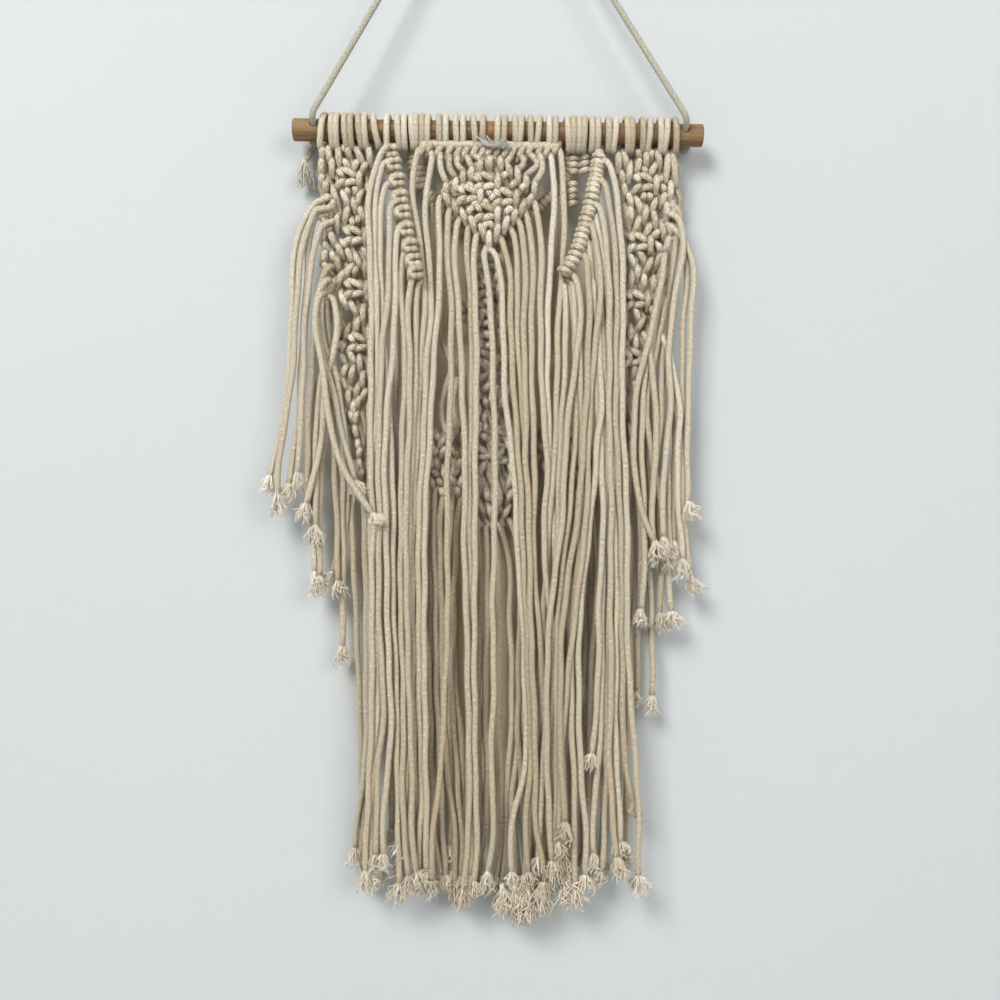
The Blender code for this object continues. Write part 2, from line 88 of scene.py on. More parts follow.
def addCamera():
    bpy.context.scene.view_settings.view_transform = "Standard"
    data = bpy.data.cameras.new("camera")
    data.sensor_width = 36
    data.lens = data.sensor_width * room["cameraDistance"] / room["seenWidth"]
    camera = bpy.data.objects.new("camera", data)
    camera.location = Vector((room["cameraAside"], -room["cameraDistance"], room["cameraHeight"])) * mm
    camera.rotation_euler = (math.radians(90), 0, 0)
    bpy.context.collection.objects.link(camera)
    bpy.context.scene.camera = camera


def addLamps():
    for name, lamp in lamps.items():
        data = bpy.data.lights.new(name, "AREA")
        data.size = lamp["size"]
        data.energy = lamp["power"]
        made = bpy.data.objects.new(name, data)
        made.location = lamp["at"]
        toAim = Vector(lamp["aim"]) - made.location
        made.rotation_euler = toAim.to_track_quat("-Z", "Y").to_euler()
        bpy.context.collection.objects.link(made)
    world = bpy.data.worlds.new("softSky")
    bpy.context.scene.world = world
    world.use_nodes = True
    sky = world.node_tree.nodes["Background"]
    sky.inputs["Color"].default_value = linear(room["skyColour"])
    sky.inputs["Strength"].default_value = room["skyStrength"]


def addNode(tree, kind, values=None, **settings):  # values are its inputs: numbers, colours, sockets
    node = tree.nodes.new("ShaderNode" + kind)
    for name, value in settings.items():
        setattr(node, name, value)
    for name, value in (values or {}).items():
        if isinstance(value, bpy.types.NodeSocket):
            tree.links.new(value, node.inputs[name])
        else:
            node.inputs[name].default_value = value
    return node


def newMaterial(name, fixed):  # a Principled shader and the values that are the same all over
    material = bpy.data.materials.new(name)
    material.use_nodes = True
    shader = material.node_tree.nodes["Principled BSDF"]
    for socket, value in fixed.items():
        shader.inputs[socket].default_value = value
    return material, material.node_tree, shader


def paintWall(name, paintedBounceShare):
    # matt wall paint: no gloss, a little mottled; seen only from the front, so that it hides nothing.
    # A warmer tone is painted close behind the piece, in place of light that the cotton throws back
    material, tree, shader = newMaterial(name, {"Roughness": 0.95, "Specular IOR Level": 0.1})
    position = addNode(tree, "TexCoord").outputs["Object"]
    mottle = addNode(tree, "TexNoise", {"Vector": position, "Scale": 1.4, "Detail": 2.0})
    tint = addNode(tree, "ValToRGB", {"Fac": mottle.outputs["Fac"]})
    tint.color_ramp.elements[0].color = linear(room["wallShade"])
    tint.color_ramp.elements[1].color = linear(room["wallColour"])
    # painted bounce light: the wall is warmed in an oval close behind the piece
    fromMiddle = addNode(tree, "VectorMath", {0: position, 1: (0.0, room["paintedBounceLow"], 0.0)}, operation="ADD")
    spread = addNode(tree, "VectorMath", {0: fromMiddle.outputs[0], 1: room["paintedBounceNarrow"]},
                     operation="MULTIPLY")
    away = addNode(tree, "VectorMath", {0: spread.outputs[0]}, operation="LENGTH")
    paintedBounceMask = addNode(tree, "MapRange", {"Value": away.outputs["Value"], "From Min": 0.75, "From Max": 1.1,
                                        "To Min": paintedBounceShare, "To Max": 0.0})
    warmed = addNode(tree, "Mix", {"Factor": paintedBounceMask.outputs["Result"], "A": tint.outputs["Color"],
                                   "B": linear(room["paintedBounceColour"])}, data_type="RGBA")
    tree.links.new(warmed.outputs["Result"], shader.inputs["Base Color"])
    clear = addNode(tree, "BsdfTransparent")
    side = addNode(tree, "MixShader", {0: addNode(tree, "NewGeometry").outputs["Backfacing"],
                                       1: shader.outputs["BSDF"], 2: clear.outputs["BSDF"]})
    tree.links.new(side.outputs["Shader"], tree.nodes["Material Output"].inputs["Surface"])
    return material


def addRoom():
    size = room["wallSize"] * mm
    bpy.ops.mesh.primitive_plane_add(size=size, location=(0, room["wallBehind"] * mm, -0.4),
                                     rotation=(math.radians(90), 0, 0))
    wall = bpy.context.object
    wall.name = "wall"
    wall.visible_shadow = False  # so that the back light reaches the back of the piece
    bpy.ops.mesh.primitive_plane_add(size=size, location=(0, 0, room["floorHeight"] * mm))
    floor = bpy.context.object
    floor.name = "floor"
    # the wall takes the full painted bounce light, the floor none
    for surface, paintedBounceShare in ((wall, 1.0), (floor, 0.0)):
        surface.data.materials.append(paintWall(f"{surface.name}Paint", paintedBounceShare))
    bpy.ops.object.select_all(action="DESELECT")


# cords: every cord is a tube swept along a smooth route, and a piece is a skein of such tubes

def smooth(points, step):  # points about a step apart on a smooth curve through the given ones
    points = np.asarray(points, float)
    chord = np.linalg.norm(np.diff(points, axis=0), axis=1)
    along = np.concatenate(([0], np.cumsum(chord)))
    slope = np.diff(points, axis=0) / chord[:, None]
    before, after = chord[:-1, None], chord[1:, None]
    middle = (after * slope[:-1] + before * slope[1:]) / (before + after)
    tangent = np.concatenate((slope[:1], middle, slope[-1:]))
    wanted = np.linspace(0, along[-1], max(3, round(along[-1] / step) + 1))
    i = np.clip(np.searchsorted(along, wanted, side="right") - 1, 0, len(chord) - 1)
    length = chord[i][:, None]
    t = (wanted - along[i])[:, None] / length
    return ((2 * t ** 3 - 3 * t ** 2 + 1) * points[i] + (t ** 3 - 2 * t ** 2 + t) * length * tangent[i]
            + (3 * t ** 2 - 2 * t ** 3) * points[i + 1] + (t ** 3 - t ** 2) * length * tangent[i + 1])


def newSkein():
    return {"points": [], "faces": [], "uv": [], "tone": [], "count": 0}


def addTube(skein, route, radius=cordRadius, sides=8, tone=None, braided=True):
    # a closed tube along a route of x, drop, out; its UV map is in real millimetres: round, along
    route = np.asarray(route, float)
    rings = len(route)
    radius = np.broadcast_to(radius, rings)
    tone = random.normal(0.5, 0.09) if tone is None else tone
    step = np.gradient(route, axis=0)
    tangent = step / np.linalg.norm(step, axis=1)[:, None]
    normal = np.cross(tangent[0], (0.1, 0.2, 1.0))
    along = np.concatenate(([0], np.cumsum(np.linalg.norm(np.diff(route, axis=0), axis=1))))
    angle = 2 * math.pi * np.arange(sides) / sides
    circle = np.stack((np.cos(angle), np.sin(angle)), axis=1)
    rows = []
    for i in range(rings):
        normal = normal - tangent[i] * np.dot(normal, tangent[i])
        normal /= np.linalg.norm(normal)
        across = np.cross(tangent[i], normal)
        rows.append(route[i] + radius[i] * (circle[:, :1] * normal + circle[:, 1:] * across))
    skein["points"].append(np.concatenate(rows))
    start = skein["count"]
    ring, side = np.meshgrid(np.arange(rings - 1), np.arange(sides), indexing="ij")
    turn = (side + 1) % sides
    near, far = start + ring * sides, start + (ring + 1) * sides
    quads = np.stack((near + side, near + turn, far + turn, far + side), axis=-1).reshape(-1, 4)
    width = 2 * math.pi * cordRadius / sides
    u = np.stack((side, side + 1, side + 1, side), axis=-1) * width
    v = np.stack((along[ring], along[ring], along[ring + 1], along[ring + 1]), axis=-1)
    last = start + (rings - 1) * sides
    skein["faces"] += quads.tolist() + [list(range(start + sides - 1, start - 1, -1)),
                                        list(range(last, last + sides))]
    if braided:
        skein["uv"].append(np.stack((u, v), axis=-1).reshape(-1, 2))
        skein["uv"].append(np.repeat(((0.0, 0.0), (0.0, along[-1])), sides, axis=0))
    else:  # a single yarn stays at one place of the braid's pattern, so it is smooth
        # that place is the braid's crest, so the yarn takes the crest's painted highlight tone
        crest = math.pi * cordRadius / cotton["braidAround"], 0.0
        skein["uv"].append(np.full((4 * len(quads) + 2 * sides, 2), crest))
    skein["tone"].append(np.repeat(np.broadcast_to(tone, rings), sides))
    skein["count"] += rings * sides


def makePiece(name, skein, material, node):
    mesh = bpy.data.meshes.new(name)
    mesh.from_pydata(place(np.concatenate(skein["points"])), [], skein["faces"])
    mesh.uv_layers.new(name="UVMap").data.foreach_set("uv", np.concatenate(skein["uv"]).ravel())
    tone = mesh.attributes.new("tone", "FLOAT", "POINT")
    tone.data.foreach_set("value", np.concatenate(skein["tone"]))
    mesh.shade_smooth()
    mesh.materials.append(material)
    piece = bpy.data.objects.new(name, mesh)
    bpy.context.collection.objects.link(piece)
    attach(piece, "root")
    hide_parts(node)
    triangles = sum(len(face) - 2 for face in skein["faces"])
    print(f"{name}: {triangles} triangles")
    return piece


# a hitch shows as one oval turn of cord: its ends sink under its neighbours
hitch = {"tip": 1.7, "sink": 3.4, "depth": -3.6, "rise": 2.0}


def addHitch(skein, x1, drop1, x2, drop2, out, plump=1.12, sink=hitch["sink"], tone=None):
    start, end = np.array((x1, drop1)), np.array((x2, drop2))
    length = np.linalg.norm(end - start)
    along = (end - start) / length
    start, shown = start + along * hitch["tip"], length - 2 * hitch["tip"]
    depth, rise = hitch["depth"], hitch["rise"]
    arc = [(-sink, depth), (0, -0.8), (0.28 * shown, 0.78 * rise), (0.5 * shown, rise),
           (0.72 * shown, 0.78 * rise), (shown, -0.8), (shown + sink, depth)]
    line = smooth([(*(start + along * t), out + lift) for t, lift in arc], (shown + 2 * sink) / 7)
    swell = np.sin(np.linspace(0, math.pi, len(line)))
    addTube(skein, line, cordRadius * (0.95 + (plump - 0.95) * swell * random.uniform(0.85, 1.15)), 7, tone)


# a square knot from the front: two bars over the core, the loop at their right, the cords in and out
squareKnot = [  # start and end from the knot's middle, and depth
    (-3.9, -0.5, -8.6, -5.2, -0.6), (-3.5, 1.0, -9.7, 7.3, -0.6), (-5.0, -5.8, 4.9, 0.0, 0.6),
    (-3.5, 4.6, 5.4, 2.6, 0.4), (7.0, -3.7, 6.5, 6.2, 0.9),
]


def addSquareKnot(skein, x, drop, out):
    for x1, drop1, x2, drop2, depth in squareKnot:
        addHitch(skein, x + x1, drop + drop1, x + x2, drop + drop2, out + depth)


def addFray(skein, end, direction, width, length, tone, yarns=42):
    # the cord's cut end: its yarns open into a brush, wider and curlier towards their tips
    direction = direction / np.linalg.norm(direction) + random.normal(0, 0.16, 3) * (1, 0.3, 0.6)
    direction /= np.linalg.norm(direction)
    for i in range(yarns):
        turn = 2.4 * i + random.uniform(-0.4, 0.4)
        reach = math.sqrt((i + 0.5) / yarns)
        aside = np.array((math.cos(turn), 0.0, math.sin(turn)))
        aside -= direction * np.dot(aside, direction)
        far = length * random.uniform(0.55, 1.1)
        curl = random.normal(0, 1.3, 3) * (1, 0.5, 0.8)
        back = random.normal(0, 1.1, 3) * (1, 0.4, 0.8)
        spread = (width - cordRadius) * reach
        start = end + aside * cordRadius * 0.8 * reach
        points = [start - direction * 2.0, start + direction * 0.8,
                  start + direction * far * 0.4 + aside * spread * 0.55 + curl * 0.4,
                  start + direction * far * 0.66 + aside * spread * 0.9 - curl * 0.5 + back,
                  start + direction * far * 0.86 + aside * spread * 1.05 + curl * 0.7,
                  start + direction * far + aside * spread * random.uniform(0.6, 1.25) + curl * 1.2 - back]
        line = smooth(points, far / 6)
        addTube(skein, line, np.linspace(0.44, 0.3, len(line)), 3, tone + random.normal(0.03, 0.13), False)


# cotton: matt off-white braid with a diamond lattice in relief, with painted shade in its furrows and a
# painted highlight on its crests; each cord has its own tone, and its yarns are mottled, coarser than real
# ones so that it shows
cotton = {
    "dark": "958362", "middle": "C1B59E", "light": "EEE7DB",
    "braidAround": 8, "braidLength": 1.9, "relief": 0.7, "sheen": 0.06,
    "mottleFine": (0.9, 0.5),  # noise cells to a millimetre, round and along
    "mottle": (1.5, -0.74), "paintedReliefShade": (0.62, -0.42),  # how strongly each changes the tone, and its offset
}
# the hanging cord is the same braid in a greyer cotton; the tie thread is bleached nearly white
hangingLook = {**cotton, "dark": "8A8675", "middle": "B1AD9D", "light": "C8C4B3"}
threadLook = {**cotton, "dark": "DAD4CA", "middle": "EAE4DA", "light": "F2ECE2"}


def makeCotton(name, look):
    material, tree, shader = newMaterial(name, {"Roughness": 0.92, "Specular IOR Level": 0.15,
                                                "Sheen Weight": look["sheen"], "Sheen Roughness": 0.5})
    threadMap = addNode(tree, "UVMap", uv_map="UVMap").outputs["UV"]
    around = math.pi * look["braidAround"] / (2 * math.pi * cordRadius)
    along = math.pi / look["braidLength"]
    waves = []
    for lean in (1, -1):
        phase = addNode(tree, "VectorMath", {0: threadMap, 1: (around, lean * along, 0)},
                        operation="DOT_PRODUCT")
        waves.append(addNode(tree, "Math", {0: phase.outputs["Value"]}, operation="SINE").outputs[0])
    crossed = addNode(tree, "Math", {0: waves[0], 1: waves[1]}, operation="MULTIPLY")
    lifted = addNode(tree, "Math", {0: crossed.outputs[0]}, operation="ABSOLUTE")
    lattice = addNode(tree, "Math", {0: lifted.outputs[0], 1: 0.45}, operation="POWER").outputs[0]
    mottleMap = addNode(tree, "VectorMath", {0: threadMap, 1: (*look["mottleFine"], 0)}, operation="MULTIPLY")
    mottle = addNode(tree, "TexNoise", {"Vector": mottleMap.outputs[0], "Scale": 1.0, "Detail": 3.0})
    total = addNode(tree, "Attribute", attribute_name="tone").outputs["Fac"]
    # the lattice's share of the tone is painted shade in the braid's furrows and a painted highlight on its
    # crests
    for pattern, (strength, offset) in ((mottle.outputs["Fac"], look["mottle"]), (lattice, look["paintedReliefShade"])):
        change = addNode(tree, "Math", {0: pattern, 1: strength, 2: offset}, operation="MULTIPLY_ADD")
        total = addNode(tree, "Math", {0: total, 1: change.outputs[0]}, operation="ADD").outputs[0]
    ramp = addNode(tree, "ValToRGB", {"Fac": total})
    ramp.color_ramp.elements[0].color = linear(look["dark"])
    ramp.color_ramp.elements[1].color = linear(look["light"])
    ramp.color_ramp.elements.new(0.5).color = linear(look["middle"])
    tree.links.new(ramp.outputs["Color"], shader.inputs["Base Color"])
    relief = addNode(tree, "Bump", {"Height": lattice, "Distance": look["relief"] * mm, "Strength": 0.9})
    tree.links.new(relief.outputs["Normal"], shader.inputs["Normal"])
    return material


# fringe: each strand is a row of its depth and its line; all are first eased apart where they touch.
# Each pass parts them by a share of how far they overlap, evens them along their length, and pulls
# them a little back to their own depth
fringe = {
    "level": 5.0, "touch": 4.1, "passes": 60,
    "partDeep": 0.35, "partAside": 0.08, "evenDeep": 0.5, "evenAside": 0.12, "keepDeep": 0.02,
    "sway": 0.32, "swayDeep": 0.7, "swayWaves": (47.0, 110.0),
    "tone": 0.54, "darkening": 0.2, "fullDrop": 540,  # cords darken towards the full drop
    "frayLength": 13.0, "frayWidth": 6.8, "frayDrop": 6.5,
    "bigFrays": [  # x, drop, out, width and length
        (3, 511, 5, 9, 20), (11, 511, 7, 9.5, 24), (20, 511, 6, 10, 25), (29, 509, 7, 8.5, 20)],
}
strandRows = {
    "bandLeft": [
        (14, [(-75.5, 14), (-79.5, 18), (-83, 27), (-84.5, 35.5), (-86, 49.5), (-85, 83), (-84, 116.5),
             (-84.5, 183), (-84.5, 235.5), (-82, 255.5), (-83.5, 289.5), (-84, 322.5), (-83, 375),
             (-85.5, 429), (-87.5, 502)]),
        (13, [(-75, 23.5), (-78, 26), (-81, 33.5), (-83, 42.5), (-84, 57.5), (-82.5, 82.5), (-80.5, 116),
             (-81.5, 183), (-83, 222.5), (-83, 263), (-81.5, 316.5), (-81, 396.5), (-84, 442.5),
             (-86, 506)]),
        (12, [(-73.5, 37.5), (-78.5, 43.5), (-79, 57), (-79, 74.5), (-78, 109), (-76, 148.5), (-73, 183),
             (-71, 222.5), (-70, 263), (-70, 316.5), (-68, 369), (-67, 409.5), (-67, 449.5), (-66, 512)]),
        (15, [(-68.5, 50.5), (-71.5, 54), (-72.5, 62.5), (-72, 75), (-71.5, 88), (-73.5, 116.5), (-78, 149),
             (-78, 183), (-80, 222.5), (-80.5, 242.5), (-79, 283), (-79.5, 342.5), (-75.5, 396.5),
             (-78, 413), (-81.5, 442), (-80.5, 461.5), (-82, 492)]),
        (16, [(-64, 67), (-67, 69), (-68, 75.5), (-68.5, 100.5), (-69, 149.5), (-73.5, 183), (-76, 222.5),
             (-74, 262.5), (-74, 329), (-71.5, 368), (-71, 408.5), (-73.5, 428.5), (-76.5, 468),
             (-75.5, 485), (-76.5, 491)]),
        (14, [(-60, 82), (-63.5, 85), (-64.5, 92.5), (-64.5, 116.5), (-61.5, 149), (-63, 183), (-64, 229),
             (-65, 289.5), (-64.5, 315.5), (-63, 396.5), (-62.5, 475), (-59.5, 506)]),
        (15, [(-55, 94.5), (-60, 100.5), (-61, 116), (-59, 136), (-58.5, 162.5), (-60.5, 235.5),
             (-61, 255.5), (-61, 315.5), (-59, 368.5), (-58.5, 396.5), (-57, 449), (-56, 491), (-53, 503)]),
        (11, [(-53, 103.5), (-56, 112.5), (-56, 128.5), (-54, 148.5), (-55.5, 182.5), (-58, 229.5),
             (-59, 276.5), (-60, 330), (-59.5, 383.5), (-61, 437.5), (-65, 484)]),
    ],
    "bandRight": [
        (14, [(73.5, 24), (78, 35.5), (80, 48), (81, 61), (83, 80.5), (84, 109.5), (82.5, 135.5),
             (84, 209.5), (86, 262.5), (86.5, 289.5), (85.5, 315.5), (86.5, 362), (90, 396.5), (92.5, 429),
             (93.5, 449), (93.5, 506)]),
        (13, [(69.5, 36), (73, 42), (75.5, 51.5), (77, 67), (79, 90.5), (79, 135.5), (78, 209.5),
             (80, 235.5), (81, 262.5), (84, 290), (82, 329), (84, 368.5), (83.5, 410), (86, 429.5),
             (88, 447), (91.5, 457.5)]),
        (15, [(66.5, 53), (70.5, 59), (71.5, 67.5), (73, 91), (74, 136), (75, 175), (74, 203), (75.5, 249),
             (75.5, 289.5), (74.5, 335.5), (76, 381.5), (74, 409.5), (74.5, 435.5), (77.5, 475),
             (79.5, 493.5)]),
        (14, [(62, 64.5), (66.5, 71.5), (68, 91), (68, 109.5), (64, 155.5), (62, 183), (59.5, 229),
             (59, 268.5), (57, 289.5), (52.5, 315.5), (48, 356), (44, 396.5), (42, 429), (40.5, 449),
             (39.5, 483)]),
        (12, [(59, 74.5), (63.5, 80), (64.5, 90.5), (63.5, 122.5), (64.5, 149.5), (67, 183), (69.5, 203),
             (70.5, 229), (71, 255.5), (70.5, 290), (68.5, 303), (69, 342.5), (66.5, 379.5), (65, 397),
             (63, 425)]),
        (16, [(58, 87.5), (61.5, 96.5), (60, 136), (59, 183), (56, 229), (52, 268.5), (48, 289.5),
             (44.5, 322), (41.5, 349), (41, 375), (42, 422.5), (43.5, 469)]),
        (15, [(51.5, 100.5), (55.5, 112), (53, 149), (47, 188.5), (45, 222.5), (42.5, 268.5), (39, 289.5),
             (36, 313), (33.5, 349.5), (32, 396.5), (34, 449.5), (36, 496)]),
        (11, [(49.5, 106.5), (52.5, 136), (53, 179.5), (51, 222), (48, 262.5), (43.5, 290), (39.5, 337),
             (38, 383.5), (39, 437.5), (39.5, 495)]),
        (9, [(45.5, 105.5), (46, 135), (42.5, 201.5), (40.5, 263), (37, 317), (33.5, 370.5), (30.5, 431),
             (27, 495.5)]),
        (13, [(64, 104), (67, 150), (69, 196.5), (65, 236.5), (60, 269.5), (57.5, 296.5), (54, 349),
             (54, 396.5), (56, 436.5), (59, 470), (58, 506)]),
        (12, [(50, 104), (54, 160), (57, 216.5), (55, 263), (51.5, 316.5), (49, 350), (48.5, 383.5),
             (51, 429.5), (52, 449.5), (50, 482.5), (53, 516)]),
        (12, [(67, 60), (75, 140), (77, 216.5), (78.5, 263), (79.5, 316.5), (79, 383.5), (78.5, 410),
             (81, 456.5), (82.5, 484)]),
        (11, [(66, 75), (71, 150), (72.5, 229.5), (71.5, 290), (69.5, 343.5), (69, 383.5), (68.5, 424),
             (63.5, 456.5), (62.5, 469.5), (64.5, 492)]),
        (10, [(66.5, 50), (73, 140), (74.5, 236.5), (73, 290), (72.5, 343.5), (73, 410.5), (72, 457),
             (70, 504.5)]),
    ],
    "centre": [
        (8, [(-52, 13), (-55, 15.5), (-58.5, 24), (-59.5, 33), (-56.5, 50.5), (-53.5, 70), (-50.5, 88),
             (-49, 114.5), (-50, 134.5), (-53, 155), (-53.5, 174.5), (-55.5, 222), (-56, 262.5),
             (-57.5, 290), (-58.5, 323), (-57, 356.5), (-55, 410.5), (-54, 451.5), (-48.5, 477)]),
        (8, [(-45, 15.5), (-44, 22.5), (-47.5, 33), (-49, 44), (-49, 54.5), (-48, 70), (-47, 88),
             (-44.5, 121), (-48.5, 161.5), (-49, 182.5), (-51.5, 222), (-53, 249.5), (-54, 290), (-54, 344),
             (-53, 397.5), (-51.5, 451), (-52.5, 504)]),
        (8, [(-39, 47), (-40.5, 57.5), (-40, 74), (-39, 91.5), (-40, 121), (-43.5, 161.5), (-45, 182.5),
             (-46.5, 222), (-49, 256), (-49.5, 290), (-50, 344), (-50, 397.5), (-51, 411), (-49, 451),
             (-49, 505.5)]),
        (9, [(-32.5, 55), (-35, 65.5), (-34, 88.5), (-31, 121.5), (-31.5, 161.5), (-31.5, 182.5),
             (-34.5, 222), (-33.5, 262.5), (-34, 290), (-34, 329.5), (-34.5, 356.5), (-36.5, 397.5),
             (-38, 423.5), (-40, 444), (-43, 463.5), (-44.5, 511.5)]),
        (9, [(-26.5, 61), (-29, 70.5), (-29, 88.5), (-26.5, 121.5), (-24.5, 161.5), (-23.5, 182.5),
             (-22, 222), (-23, 270), (-21.5, 303.5), (-20.5, 329.5), (-21, 356.5), (-18.5, 397.5),
             (-19, 437), (-19.5, 463.5), (-23, 517)]),
        (7, [(-20.5, 65), (-22, 76), (-21.5, 88), (-18.5, 101.5), (-16.5, 121.5), (-17.5, 154.5),
             (-17.5, 182.5), (-18.5, 222), (-19.5, 290), (-19, 344), (-18, 384.5), (-17.5, 438.5),
             (-18, 485.5), (-19.5, 508.5)]),
        (8, [(-14, 70), (-16.5, 80), (-16.5, 91.5), (-16, 108.5), (-15, 162.5), (-15, 215.5), (-16, 249),
             (-15.5, 290), (-15.5, 329.5), (-17, 356.5), (-15.5, 430.5), (-14.5, 477), (-16, 512)]),
        (8, [(-8, 81), (-9.5, 88.5), (-6.5, 102.5), (-5, 121), (-3.5, 161.5), (-2.5, 182.5), (-2, 222),
             (-2.5, 262.5), (-2, 276.5), (-4, 329.5), (-2.5, 376), (-4, 410.5), (-5, 430.5), (-2.5, 463.5),
             (-7, 505.5)]),
        (8, [(-4.5, 81), (-0.5, 85.5), (2, 95), (2.5, 114.5), (4, 155), (5, 182.5), (9, 215.5), (12, 256),
             (14, 290), (17.5, 323), (18.5, 350.5), (19.5, 391), (21.5, 417), (15, 444), (9.5, 461.5),
             (7, 479.5), (10.5, 505.5)]),
        (8, [(1.5, 72), (6, 80.5), (8, 89.5), (8, 121), (10, 161.5), (11.5, 182.5), (13.5, 222),
             (17, 262.5), (18, 290), (20, 330.5), (21.5, 377.5), (23, 434.5), (19.5, 448), (19, 484),
             (21, 505.5)]),
        (7, [(7, 66), (12, 74), (13.5, 88), (13, 128), (15, 167.5), (17.5, 196), (19, 229.5), (19, 276.5),
             (20.5, 317), (21.5, 357.5), (25, 398), (29, 431), (35, 470.5), (40.5, 505.5)]),
        (9, [(12.5, 61), (17, 70.5), (18.5, 88.5), (17.5, 135), (18, 182.5), (18.5, 222), (21.5, 262.5),
             (21, 276.5), (20, 303.5), (22, 356.5), (23.5, 397.5), (25, 437), (25.5, 463.5),
             (32.5, 511.5)]),
        (8, [(18, 54.5), (22.5, 64), (24, 88), (22, 128), (23.5, 182.5), (24.5, 222), (24, 290),
             (25, 303.5), (29.5, 356.5), (31.5, 397.5), (34, 424), (38, 463.5), (47, 496)]),
        (9, [(24, 49), (28.5, 59), (29.5, 88.5), (28, 128), (29.5, 168), (31.5, 200), (33.5, 217),
             (33.5, 235.5), (31, 260), (31.5, 290), (35, 316), (36.5, 336.5), (35.5, 376), (36, 397.5),
             (37.5, 444.5), (45, 515.5)]),
        (7, [(34.5, 16), (38, 26), (37.5, 47), (37, 70), (36, 88), (33.5, 121), (33, 141.5), (33.5, 182.5),
             (36, 229.5), (38, 276.5), (40, 330.5), (42, 384.5), (44.5, 438.5), (50, 508.5)]),
        (7, [(41.5, 13.5), (44, 22), (44.5, 39), (44, 62.5), (44.5, 88), (41.5, 121), (39.5, 161.5),
             (39.5, 182.5), (38, 229), (35, 257), (33, 290), (30.5, 330.5), (28.5, 371), (25.5, 411.5),
             (22.5, 452), (17.5, 508.5)]),
    ],
    "back": [
        (-4, [(-41.5, 241), (-44.5, 249), (-44.5, 262.5), (-43.5, 290.5), (-42.5, 345.5), (-41.5, 400),
             (-39, 455), (-35.5, 512)]),
        (-4, [(-36, 243.5), (-39.5, 250.5), (-40, 262.5), (-39.5, 290.5), (-39, 345.5), (-37, 400),
             (-33.5, 446), (-28, 481), (-30, 520.5)]),
        (-4, [(-24, 247.5), (-29, 254.5), (-29.5, 269), (-29, 290.5), (-31.5, 345.5), (-32, 393.5),
             (-27.5, 427), (-25.5, 475.5), (-25.5, 512)]),
        (-5, [(-15, 262.5), (-13, 273.5), (-12, 297.5), (-13.5, 400.5), (-12.5, 455), (-11, 510)]),
        (-5, [(-8, 268), (-7.5, 280.5), (-8, 318), (-9, 386.5), (-8, 455), (-12.5, 505.5)]),
        (-5, [(0, 266), (5.5, 277), (9.5, 294), (7, 318), (9.5, 349), (9, 400.5), (7, 434), (4, 475.5),
             (0.5, 521)]),
        (-5, [(-2.5, 268), (0, 280.5), (0.5, 318), (1.5, 373), (1, 427), (3.5, 474.5), (0, 512.5)]),
        (-4, [(7, 262), (13.5, 273.5), (16, 297.5), (14.5, 345.5), (13.5, 386.5), (16, 441), (25.5, 512)]),
        (-4, [(61.5, 247.5), (60, 263.5), (59, 290.5), (60, 345.5), (58, 382.5)]),
        (-4, [(68.5, 249.5), (70, 270), (67, 318), (63, 373), (61.5, 427.5), (63, 500)]),
        (-5, [(-100, 229), (-100.5, 263.5), (-98.5, 304.5), (-95, 371.5), (-94, 414), (-93, 455),
             (-94, 508.5)]),
        (-5, [(-91, 229), (-90.5, 291), (-89.5, 345.5), (-90, 400.5), (-93, 448), (-98, 493.5)]),
        (-5, [(39.5, 236), (44, 291), (48, 345.5), (46.5, 400.5), (37, 455), (29.5, 516.5)]),
        (-5, [(29, 236), (26, 291), (22.5, 345.5), (16.5, 400.5), (9.5, 455), (16, 514)]),
        (-5, [(-29.5, 236), (-34, 291), (-29.5, 373), (-24.5, 427.5), (-31.5, 510)]),
        (-5, [(-59, 229), (-70, 291), (-74, 373), (-72.5, 427.5), (-72.5, 481)]),
        (-5, [(-68.5, 229), (-57.5, 291), (-46, 373), (-46, 441.5), (-39.5, 512.5)]),
    ],
    "left": [
        (6, [(-115.5, 46), (-123.5, 50), (-134, 59.5), (-138, 81), (-138.5, 113), (-139.5, 146.5),
             (-142.5, 176), (-145.5, 200.5), (-151, 222.5), (-154.5, 239)]),
        (9, [(-114, 53.5), (-123.5, 55.5), (-129.5, 67), (-133, 95), (-136.5, 123), (-136.5, 149.5),
             (-141.5, 191.5), (-147.5, 219), (-148.5, 251.5)]),
        (5, [(-116, 56.5), (-123, 59), (-127.5, 70), (-128.5, 91), (-130.5, 122), (-132.5, 149),
             (-133.5, 191), (-139, 222.5), (-142.5, 244.5)]),
        (8, [(-113, 62.5), (-119.5, 65.5), (-124.5, 77.5), (-124.5, 91.5), (-128.5, 113), (-131, 155.5),
             (-132.5, 200.5), (-134, 223), (-134.5, 237)]),
        (7, [(-114.5, 93.5), (-120.5, 103), (-122.5, 118.5), (-124.5, 146.5), (-126.5, 182.5), (-128, 216),
             (-128.5, 258.5)]),
        (13, [(-116, 104), (-123.5, 114), (-122, 131), (-117.5, 150), (-112, 168), (-105, 203),
             (-98, 225.5), (-94, 242.5)]),
        (9, [(-118, 110), (-121, 122), (-115.5, 145.5), (-110, 168), (-104.5, 189), (-101.5, 209.5),
             (-101, 224)]),
        (22, [(-118.5, 115), (-122, 124.5), (-118.5, 147.5), (-113.5, 177), (-110.5, 208), (-103.5, 226),
             (-96.5, 240.5), (-87.5, 252.5), (-79.5, 263.5)]),
        (6, [(-113.5, 104), (-117.5, 109.5), (-116, 125), (-112.5, 153.5), (-108.5, 182.5), (-104.5, 209),
             (-98.5, 227)]),
        (11, [(-111, 115), (-105, 122), (-105, 136.5), (-109, 148), (-116, 168), (-117, 201), (-120, 221.5),
             (-125, 243.5), (-130.5, 257.5)]),
